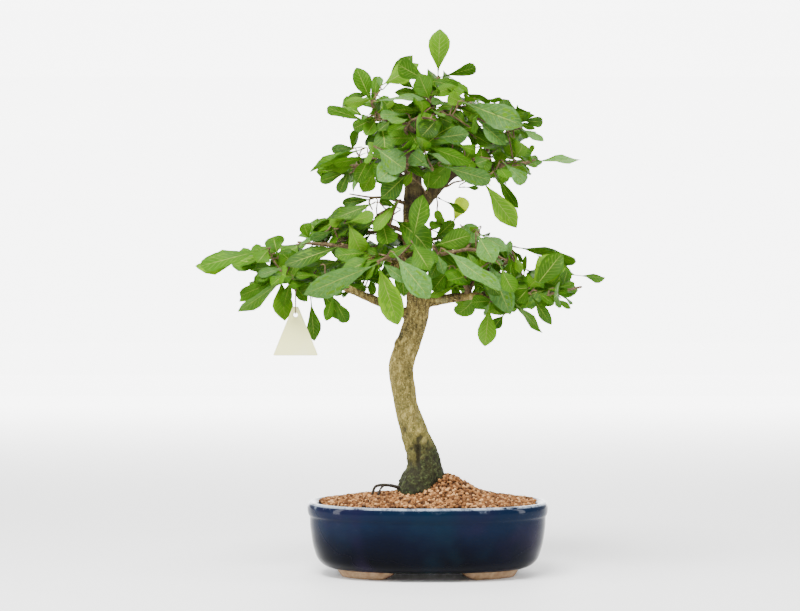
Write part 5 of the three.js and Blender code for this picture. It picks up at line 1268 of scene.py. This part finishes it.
# %% Lay the leaves
standing = Standing()
rows = np.array(TRUNK_ROWS, float)
for u in (0, 0.5):
    radius = rows[:-1, 3] + TRUNK_ROOM
    standing.add((rows[:-1] + (rows[1:] - rows[:-1]) * u)[:, :3], radius, radius, WOOD, OTHER_OWNER)
for thick, path in LIMBS.values():
    standing.add_stem(path, thick, WOOD, OTHER_OWNER)
shoots = {}
for index, (name, spray) in enumerate(SPRAYS.items()):
    twigs = [dict(points=np.array(spray["stem"], float), thick=spray["thick"], leaves=0)]
    for at, *end, leaves in spray["twigs"]:
        line = np.array([on_curve(spray["stem"], at), end])
        twigs.append(dict(points=line, thick=TWIG_RADII, leaves=leaves))
    for k, twig in enumerate(twigs):
        twig |= dict(spray=index, owner=100 * index + k)
        standing.add_stem(twig["points"], twig["thick"], index, twig["owner"])
    steps = [6 * (len(twig["points"]) - 1) for twig in twigs]
    starts = [on_curve(twig["points"], np.arange(1, n + 1) / n) for twig, n in zip(twigs, steps)]
    twigs[0]["starts"] = np.concatenate(starts)
    twigs[0]["start_owners"] = np.repeat([twig["owner"] for twig in twigs], steps)
    shoots[name] = dict(twigs=twigs, leaves=[], draw=seeded_draw(FOLIAGE_SEED + 77 * index))
for z in np.arange(TAG_BOTTOM, TAG_TOP + TIE_REACH + 0.1, TAG_ROOM):
    down = max((TAG_TOP - z) / (TAG_TOP - TAG_BOTTOM), 0)
    half = 0 if z > TAG_TOP else TAG_HALF_TOP + down * (TAG_HALF_BOTTOM - TAG_HALF_TOP)
    spread = np.arange(-half, half + 1e-9, TAG_ROOM)
    on_tag = np.stack([TAG_X + spread, 0 * spread + TAG_Y, 0 * spread + z], axis=1)
    standing.add(on_tag, TAG_ROOM, TAG_ROOM, TAG, OTHER_OWNER)


def lay(shoot, leaf):
    """The leaf joins its shoot and what stands already."""
    shoot["leaves"].append(leaf)
    standing.add_leaf(leaf)


def tell_leaves(which):
    print(which, sum(len(shoot["leaves"]) for shoot in shoots.values()))


for name, spray in SPRAYS.items():
    shoot = shoots[name]
    for row in spray.get("leaves", []):
        leaf, _ = chosen_leaf(shoot["twigs"], row, shoot["draw"], standing)
        lay(shoot, leaf)
for shoot in shoots.values():
    for twig in shoot["twigs"]:
        for i in range(twig["leaves"] - 1, -1, -1):
            end = i == twig["leaves"] - 1
            at = 1.0 if end else FIRST_AT + SPREAD_OVER * i / twig["leaves"]
            for _ in range(TRIES):
                leaf = ruled_leaf(twig, at, end, 1 if i % 2 else -1, shoot["draw"])
                if shows_in_crown(leaf) and standing.room(leaf) > 0:
                    lay(shoot, leaf)
                    break
tell_leaves("leaves of the CAD model:")

# %% [markdown]
# The CAD model has most of the large leaves. The small ones that are seen in the photograph, and a few
# large ones more, are laid by the same rule but closer to their neighbours, and then more leaves go between
# them all. Every one stays in the model's box. Those between also stay in the leafy part of the crown, and
# they may hardly hide a listed leaf: a map of cells as the camera sees them holds the depth of the foremost
# of those.

# %% Fill in the leaves between
CLOSER, MOST_HIDDEN = -5.0, 0.12
for name, rows in MORE_LEAVES.items():
    shoot = shoots[name]
    for row in rows:
        leaf, room = chosen_leaf(shoot["twigs"], row, shoot["draw"], standing)
        if room > CLOSER and inside_reach(leaf):
            lay(shoot, leaf)
tell_leaves("leaves with the others set by eye:")
CELL, CELLS, MAP_CORNER = 3.0, 260, (-330, 0)
front = np.full((CELLS, CELLS), np.inf)


def cells(points):
    """The cells of the map in which points are seen."""
    at = ((seen_from(points) - MAP_CORNER) / CELL).astype(int)
    return at[..., 0], at[..., 1]


by_eye = [leaf for shoot in shoots.values() for leaf in shoot["leaves"] if leaf["seen"] is not None]
for leaf in by_eye:
    points = blade(leaf, np.linspace(0.12, 1, 34)[:, None], np.linspace(-1, 1, 15)[None]).reshape(-1, 3)
    np.minimum.at(front, cells(points), points[:, 1])


def hides(leaf):
    """The share of a leaf that lies before a listed leaf. Where none is seen, the map's depth is endless
    and counts as behind too, so that part is taken off again."""
    points = leaf_samples(leaf)
    return (points[:, 1] < front[cells(points)]).mean() - (front[cells(points)] == np.inf).mean()


# Each pass: the stretch of the twig that it fills, and the leaves' size
FILL_PASSES = [(0.45, 1.0, 1.1), (0.2, 0.9, 0.9)]
STEM_PLACES, TWIG_PLACES, FILL_TRIES, FILL_HANG = 4, 2, 8, 0.8
for low, high, scale in FILL_PASSES:
    for shoot in shoots.values():
        for twig in shoot["twigs"]:
            places = STEM_PLACES if twig is shoot["twigs"][0] else TWIG_PLACES
            for i in range(places):
                at = low + (high - low) * (i + 0.5) / places
                for _ in range(FILL_TRIES):
                    leaf = ruled_leaf(twig, at, False, 1 if i % 2 else -1, shoot["draw"], scale, FILL_HANG)
                    if not (shows_in_crown(leaf, whole=True) and inside_reach(leaf)):
                        continue
                    if hides(leaf) < MOST_HIDDEN and standing.room(leaf) > CLOSER:
                        lay(shoot, leaf)
                        break
tell_leaves("leaves with those between:")

# %% [markdown]
# Each blade is one thin closed skin: rings of five points across its top and three under it, from the
# stalk to the tip, with the midrib as a groove above and a keel below. All leaves of a shoot are worked
# out at once as one array. A blade is repeated hundreds of times, so it has few faces: veins are left to
# the material. A leaf that hangs away from its twig has a thin shoot of its own.

# %% Leaves and twigs as surfaces
STATIONS = np.array([0, 0.10, 0.20, 0.34, 0.48, 0.62, 0.75, 0.87, 0.96])
RING_V = np.array([-1, -0.5, 0, 0.5, 1, 0.5, 0, -0.5])
RING_UNDER = np.array([0, 0, 0, 0, 0, 1, 1, 1.0])
BLADE_VALUES = ("width", "form", "tip", "wave", "phase", "arch", "fold", "twist", "sway", "length",
    "root", "along", "side", "normal")
TURNS, MOST_SWAY = np.linspace(-0.6, 0.6, 13), 0.12
HANGS, ROUND_CHANCE, HANGING_ROUND_CHANCE = -0.45, 0.65, 0.15
TWIG_COLUMNS, STEM_COLUMNS = 7, 10


def into_box(points):
    """The points with any that reach past the CAD model's box brought onto it."""
    return np.clip(points, reach_low + 0.05, reach_high - 0.05)


def leaf_tones_sheen_and_shade(leaf, rng):
    """How yellow a leaf is, its bloom with painted sheen, and its painted shade, from what it shows."""
    # dark is painted shade: how far the leaf is painted darker, as if shaded inside the crown.
    dark = rng.uniform(0, 1) if leaf["seen"] is not None else rng.uniform(0, 0.5)
    upper = rng.uniform(0.15, 0.62), rng.uniform(0, 0.35)
    # A bloomed leaf's pale bloom is partly a painted sheen of the light above.
    bloom_sheen_tone = rng.uniform(0.15, 0.40), rng.uniform(0.6, 1)
    underside = rng.uniform(0.60, 0.90), 0.1
    yellow, bloom_with_sheen = (upper, bloom_sheen_tone, underside, (1.0, 0.0))[leaf["shows"]]
    return yellow, bloom_with_sheen, dark * (leaf["shows"] < 2)


def turned(leaf, angle):
    """The leaf turned about its own length."""
    normal = leaf["normal"] * math.cos(angle) + np.cross(leaf["along"], leaf["normal"]) * math.sin(angle)
    return leaf | dict(normal=normal, side=np.cross(leaf["along"], normal))


def seen_width(leaf):
    """How wide the camera sees the leaf, square to its length, at its widest."""
    at = seen_from(blade(leaf, np.array([[0.5], [0.62], [0.74], [0.0]]), np.array([[-1, 1]])))
    line = unit(at[:3].mean(axis=(0, 1)) - at[3, 0])
    apart = at[:3, 1] - at[:3, 0]
    return np.abs(apart[:, 0] * line[1] - apart[:, 1] * line[0]).max()


def beside_line(leaf):
    """How far the leaf's middle is seen beside the straight line from its root to its tip."""
    at = seen_from(blade(leaf, np.array([[0.0], [0.55], [1.0]]), np.array([[0.0]])))[:, 0]
    line, apart = unit(at[2] - at[0]), at[1] - at[0]
    return apart[0] * line[1] - apart[1] * line[0]


def straightened(leaf):
    """The leaf with the sway that brings its middle onto the straight line from its root to its tip, where
    the camera sees sway at all."""
    still, swayed = [beside_line(leaf | dict(sway=sway)) for sway in (0, MOST_SWAY)]
    if abs(swayed - still) < 1:
        return leaf
    return leaf | dict(sway=MOST_SWAY * min(max(still / (still - swayed), -1), 1))


def finer(leaf, rng):
    """A leaf as it is drawn. Its base runs further down its shoot and tapers longer, its ripple is deeper
    than while it was laid, and its end is rounder or more pointed, mostly pointed where it hangs. A listed
    one is turned about its length and swayed by the little that makes it look as wide and as straight as
    in the photograph."""
    round_end = rng.uniform(0, 1) < (ROUND_CHANCE if leaf["along"][2] > HANGS else HANGING_ROUND_CHANCE)
    shape = dict(width=leaf["width"] * 1.04, wave=leaf["wave"] * 1.5, twist=leaf["twist"] * 0.6)
    longer, tips = (1.4, (0.45, 0.62)) if round_end else (1.25, (0.85, 1.15))
    shape |= dict(form=leaf["form"] * longer, tip=rng.uniform(*tips))
    if leaf["start"] is not None:
        back = min(max((leaf["root"] - leaf["start"]) @ leaf["along"], 0) * 0.7, leaf["length"] * 0.35)
        shape |= dict(root=leaf["root"] - leaf["along"] * back, length=leaf["length"] + back)
    leaf = leaf | shape
    if leaf["seen"] is None:
        return leaf
    tried = [straightened(turned(leaf, turn)) for turn in TURNS]
    return min(tried, key=lambda one: abs(seen_width(one) - leaf["seen"]))


def leaf_skins(leaves, rng):
    """All blades of a shoot as one surface, with each point's place on its blade and the leaf's tones."""
    many = {k: np.array([leaf[k] for leaf in leaves], float)[:, None, None] for k in BLADE_VALUES}
    s, v = STATIONS[None, :, None], RING_V[None, None]
    top = blade(many, s, v, least=0.75)
    midrib = np.abs(v) < 0.1
    stalk = 0.9 * np.clip(1 - s / 0.15, 0, 1) * (1 - 0.3 * np.abs(v))
    keel = np.where(midrib, 0.75, 0.32) * (1 - 0.45 * s) + stalk
    groove = 0.22 * midrib * (s > 0.1)
    drop = np.where(RING_UNDER > 0, keel, groove)
    rings = top - blade_turn(many, s)[1] * drop[..., None]
    tip = blade(many, np.ones((1, 1, 1)), np.zeros((1, 1, 1)))[:, 0]
    count, rows, columns, _ = rings.shape
    each = rows * columns + 2
    points = np.concatenate([rings.reshape(count, -1, 3), rings[:, :1].mean(axis=2), tip], axis=1)
    faces = tube(rings[0]).faces[None] + (np.arange(count) * each)[:, None, None]
    across = np.append(np.broadcast_to(RING_V, (rows, columns)).ravel(), [0, 0])
    along = np.append(np.broadcast_to(STATIONS[:, None], (rows, columns)).ravel(), [0, 1])
    under = np.append(np.broadcast_to(RING_UNDER, (rows, columns)).ravel(), [0.5, 0.5])
    on_blade = np.broadcast_to(np.stack([across, along, under], axis=1), (count, each, 3))
    tones = np.array([leaf_tones_sheen_and_shade(leaf, rng) for leaf in leaves])[:, None]
    tones = np.broadcast_to(tones, (count, each, 3))
    return Surface(into_box(points.reshape(-1, 3)), faces.reshape(-1, 4), on_blade=on_blade, leaf_tones_sheen_and_shade=tones)


def twig_skin(twig):
    """A twig or stem, a little crooked, with a knob at each bud."""
    path = twig["points"]
    if len(path) == 2:
        middle = path.mean(axis=0) + noise(path[:1] * 3.1, 5, 41) * np.array([1.6, 1.6, 2.2])
        path = np.array([path[0], middle, path[1]])
        path = on_curve(path, np.linspace(0, 1, 9))
        thick = (twig["thick"][0] * 0.85, twig["thick"][1] * 0.9)
        return tube(into_box(limb_skin(path, thick, TWIG_COLUMNS, 1, 0.12)))
    return tube(into_box(limb_skin(path, twig["thick"], STEM_COLUMNS, 6, 0.1)))


def shoot_skin(leaf):
    """The thin shoot that carries a leaf, from its twig to the blade: it leaves the twig straight and
    turns into the leaf's own direction."""
    way = leaf["root"] - leaf["start"]
    end = leaf["root"] + leaf["along"] * leaf["length"] * 0.1
    before = leaf["root"] - leaf["along"] * np.linalg.norm(way) * 0.18
    path = on_curve(np.array([leaf["start"], leaf["start"] + way * 0.4, before, end]), np.linspace(0, 1, 6))
    return tube(into_box(limb_skin(path, (SHOOT_RADII[0], SHOOT_RADII[1] * 0.9), 5, 1, 0.08)))

# %% [markdown]
# A persimmon leaf is leathery: green with a satin sheen above, some with a greyish bloom that is partly a
# painted sheen, paler below, with a pale midrib and fine side veins that run forward to the edge. The
# blade's own numbers place them, and each leaf's three tones say how yellow it is, how much bloom and
# painted sheen it has, and how much painted shade darkens it. Some daylight comes through the blade, which
# the translucent share adds.

# %% Leaf
lf = Finish("persimmon_leaf", 0.42, specular=0.14)
across, along, under = lf.stored_three("on_blade")
yellow, bloom_sheen_tone, dark = lf.stored_three("leaf_tones_sheen_and_shade")
side = lf.work("ABSOLUTE", across)
green = lf.ramp(yellow, (0.0, rgb(0.024, 0.088, 0.0006)), (0.35, rgb(0.044, 0.145, 0.001)),
    (0.70, rgb(0.082, 0.225, 0.002)), (0.90, rgb(0.16, 0.32, 0.004)), (1.0, rgb(0.58, 0.74, 0.003)))
mottle = lf.minus(lf.spots(130, 4, 0.6), lf.step(yellow, 0.92, 0.97))
green = lf.over(green, rgb(0.115, 0.27, 0.005), lf.step(mottle, 0.40, 0.75), 0.35)
# Painted shade: a dark leaf is painted towards near-black green.
green = lf.over(green, rgb(0.010, 0.034, 0.001), dark, 0.65)
vein_phase = lf.times(lf.minus(along, lf.times(side, 0.20)), 11.0)
vein = lf.step(lf.work("PINGPONG", vein_phase, 0.5), 0.42, 0.48)
past_stalk, near_edge = lf.step(along, 0.12, 0.2), lf.step(side, 0.6, 0.95)
vein = lf.times(vein, lf.times(past_stalk, lf.rest(near_edge)))
rib_width = lf.minus(0.10, lf.times(along, 0.08))
rib = lf.rest(lf.step(lf.work("DIVIDE", side, rib_width), 0.4, 1.0))
# The bloom's pale spots are partly real bloom and partly a painted sheen.
bloom_sheen_spots = lf.plus(0.35, lf.times(lf.step(lf.spots(260, 8, 0.80), 0.40, 0.66), 0.65))
bloom_with_sheen = lf.times(lf.step(bloom_sheen_tone, 0.15, 1.0), bloom_sheen_spots)
green = lf.over(green, rgb(0.23, 0.48, 0.150), bloom_with_sheen, 0.66)
green = lf.over(green, rgb(0.29, 0.48, 0.045), vein, 0.70)
green = lf.over(green, rgb(0.42, 0.54, 0.09), rib, 0.70)
below = lf.mix(lf.step(yellow, 0.92, 0.98), rgb(0.090, 0.22, 0.004), rgb(0.58, 0.74, 0.003))
veined = lf.work("MAXIMUM", vein, rib)
below = lf.over(below, rgb(0.34, 0.42, 0.08), veined, 0.6)
green = lf.mix(lf.step(under, 0.4, 0.6), green, below)
lf.paint(green)
lf.set(lf.shader, {"Roughness": lf.plus(0.28, lf.times(lf.spots(140, 4), 0.30))})
lf.relief(lf.minus(lf.times(lf.spots(420, 5, 0.65), 0.9), veined), 0.8, 0.8)
through = lf.node("BsdfTranslucent", {"Color": lf.mix(0.5, green, rgb(0.30, 0.62, 0.008))})
both = lf.node("MixShader", {0: 0.34, 1: lf.shader.outputs[0], 2: through.outputs[0]})
lf.set(lf.tree.nodes["Material Output"], {"Surface": both.outputs[0]})

# %% The shoots' meshes
for index, (name, shoot) in enumerate(shoots.items()):
    rng = np.random.default_rng(100 + index)
    leaves = [finer(leaf, rng) for leaf in shoot["leaves"]]
    blades = leaf_skins(leaves, rng)
    owners = {leaf["owner"] for leaf in leaves}
    stem, *twigs = shoot["twigs"]
    shown = [stem] + [twig for twig in twigs if twig["leaves"] == 0 or twig["owner"] in owners]
    stems = [twig_skin(twig) for twig in shown]
    stems = gathered(stems + [shoot_skin(leaf) for leaf in leaves if leaf["start"] is not None])
    for key in blades.values:
        stems.values[key] = np.zeros((len(stems.points), 3))
    whole = gathered([blades, stems])
    foliage = piece("foliage_" + name, whole, [lf.material, young_bark.material],
        np.arange(len(whole.faces)) >= len(blades.faces))
    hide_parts("spray_" + name)

# %% [markdown]
# ## The tag and its tie
#
# A triangular label of ivory plastic hangs from the lowest left shoot. Seen from its hole, every ray
# meets the outline once, so one grid of rays does for both faces, the rounded outer edge and the wall of
# the hole. It is left blank. Its tie is plastic-coated wire: a closed loop through the hole and over the
# shoot, as a tube along a smooth closed path.

# %% Tag
HOLE_HEIGHT, HOLE_RADIUS, THICKNESS, EDGE = 333.0, 2.7, 1.2, 0.5
HOLE_EDGE, CORNER_POWER = HOLE_RADIUS + 0.4, 40
# Round the outer edge and through the hole: how far beyond it, and the depth as a share of half the sheet
OUTER_EDGE = [(-EDGE, -1), (-0.12, -0.62), (0, 0), (-0.12, 0.62), (-EDGE, 1)]
HOLE_WALL = [(0.4, 1), (0.06, 0.7), (0, 0), (0.06, -0.7), (0.4, -1)]


def triangle_reach(angle):
    """How far the tag's outline is from the middle of its hole in each direction: the nearest of its four
    straight sides, with the corners rounded by blending neighbouring sides."""
    slope = math.atan2(TAG_TOP - TAG_BOTTOM, TAG_HALF_BOTTOM - TAG_HALF_TOP)
    sides = [(0, 1, TAG_TOP - HOLE_HEIGHT), (0, -1, HOLE_HEIGHT - TAG_BOTTOM)]
    lean = TAG_HALF_TOP + (TAG_TOP - HOLE_HEIGHT) / math.tan(slope)
    sides += [(sign * math.sin(slope), math.cos(slope), lean * math.sin(slope)) for sign in (1, -1)]
    near = [np.maximum((nx * np.cos(angle) + nz * np.sin(angle)) / far, 0) for nx, nz, far in sides]
    return sum(n**CORNER_POWER for n in near) ** (-1 / CORNER_POWER)


corner_angles = [math.atan2(TAG_BOTTOM - HOLE_HEIGHT, sx * TAG_HALF_BOTTOM) for sx in (1, -1)]
corner_angles += [math.atan2(TAG_TOP - HOLE_HEIGHT, sx * TAG_HALF_TOP) for sx in (1, -1)]
even_rays = np.linspace(-np.pi, np.pi, 96, endpoint=False)
rays = np.sort(np.concatenate([even_rays, *(a + np.linspace(-0.12, 0.12, 9) for a in corner_angles)]))
reach = triangle_reach(rays)
half = THICKNESS / 2
flat = [(share, HOLE_EDGE + (reach - EDGE - HOLE_EDGE) * share) for share in (0.75, 0.5, 0.25)]
grid = [(reach + beyond, depth * half) for beyond, depth in OUTER_EDGE]
grid += [(row, half) for _, row in flat]
grid += [(HOLE_RADIUS + beyond + 0 * reach, depth * half) for beyond, depth in HOLE_WALL]
grid += [(row, -half) for _, row in reversed(flat)]
far = np.array([row[0] for row in grid])
depth = np.broadcast_to(np.array([row[1] for row in grid])[:, None], far.shape)
tag_points = np.stack([TAG_X + far * np.cos(rays), TAG_Y - depth, HOLE_HEIGHT + far * np.sin(rays)], axis=-1)
tag_surface = Surface(tag_points, ring_faces(len(grid), len(rays), closed=True)[:, ::-1])

ivory = Finish("ivory_plastic", 0.38)
faded = ivory.step(ivory.spots(30, 4), 0.35, 0.75)
ivory.paint(ivory.mix(faded, rgb(0.97, 0.96, 0.42), rgb(0.98, 0.97, 0.52)))
ivory.relief(ivory.spots(700, 3), 0.04, 0.4)
tag = piece("blank_tag", tag_surface, [ivory.material], sharp=50)
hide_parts("tag")

# %% Tie
TIE_RADIUS, TIE_TOP_RADIUS, TIE_HALF_WIDTH, GAP, TIE_COLUMNS = 0.65, 4.4, 2.3, 0.35, 10
stem = np.array(next(p for p in SPRAYS["low_left_end"]["stem"] if p[0] == TAG_X), float)
low = HOLE_HEIGHT + HOLE_RADIUS - TIE_RADIUS - GAP
turns = (np.arange(7) - 0.6) / 4.8 * np.pi
over = stem + TIE_TOP_RADIUS * np.stack([0 * turns, np.cos(turns), np.sin(turns)], axis=1)
down_one = [(TAG_X, TAG_Y - TIE_HALF_WIDTH, TAG_TOP + 2), (TAG_X, TAG_Y - TIE_HALF_WIDTH, low + 1.5),
    (TAG_X, TAG_Y - 0.8, low)]
up_other = [(x, 2 * TAG_Y - y, z) for x, y, z in reversed(down_one)]
loop = np.concatenate([over, down_one, up_other])
count = len(loop)
wrapped = np.concatenate([loop[-1:], loop, loop[:2]])
fine = on_curve(wrapped, (1 + np.arange(8 * count) / 8) / (count + 2))
wire_radius = np.full((len(fine), TIE_COLUMNS), TIE_RADIUS)
tie_rings = rings_along(fine, wire_radius, closed=True)
tie_surface = Surface(tie_rings, ring_faces(len(fine), TIE_COLUMNS, closed=True))
coating = Finish("brown_wire_coating", 0.45)
coating.paint(coating.mottled(350, 3, rgb(0.050, 0.026, 0.014), rgb(0.14, 0.082, 0.045)))
coating.relief(coating.spots(1500, 2), 0.05, 0.5)
tie = piece("tag_tie_loop", tie_surface, [coating.material])
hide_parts("tag_tie")

# %% [markdown]
# ## The floor
#
# The tree stands on a plain pale floor that runs back and up into a bright backdrop, so that no edge
# shows. The backdrop glows, more and more towards the back, but not at its far sides. Neither is part of
# the object.

# %% Floor and backdrop
BEND_AT, BEND_RADIUS = 4.6, 1.6
sweep = [(-6, 0), (0.6, 0), (2, 0), (3.5, 0), (BEND_AT, 0)]
for a in np.linspace(0.15, math.pi / 2, 9):
    sweep.append((BEND_AT + BEND_RADIUS * math.sin(a), BEND_RADIUS - BEND_RADIUS * math.cos(a)))
sweep.append((6.2, 2.4))
corners = [(x, y, z) for x in (-9, 9) for y, z in sweep]
count = len(sweep)
floor_mesh = bpy.data.meshes.new("floor")
floor_mesh.from_pydata(corners, [], [(k, k + count, k + count + 1, k + 1) for k in range(count - 1)])
floor = bpy.data.objects.new("floor", floor_mesh)
bpy.context.collection.objects.link(floor)
pale = Finish("pale_floor", 0.6)
floor_x, floor_y, _ = pale.split(pale.place)
back = pale.step(floor_y, 0.2, 4.8)
near_middle = pale.rest(pale.step(pale.work("ABSOLUTE", floor_x), 2.2, 3.4))
glow = pale.times(5.0, pale.times(back, near_middle))
pale.paint(pale.mottled(3, 2, rgb(0.90, 0.90, 0.90), rgb(0.92, 0.92, 0.92)))
pale.set(pale.shader, {"Emission Color": rgb(1.0, 1.0, 1.0), "Emission Strength": glow})
floor_mesh.materials.append(pale.material)

# %% [markdown]
# Last, the CAD model's box is printed. The visual model must stay inside the CAD
# model's box.

# %% Sizes
print("CAD box:", cad_box)
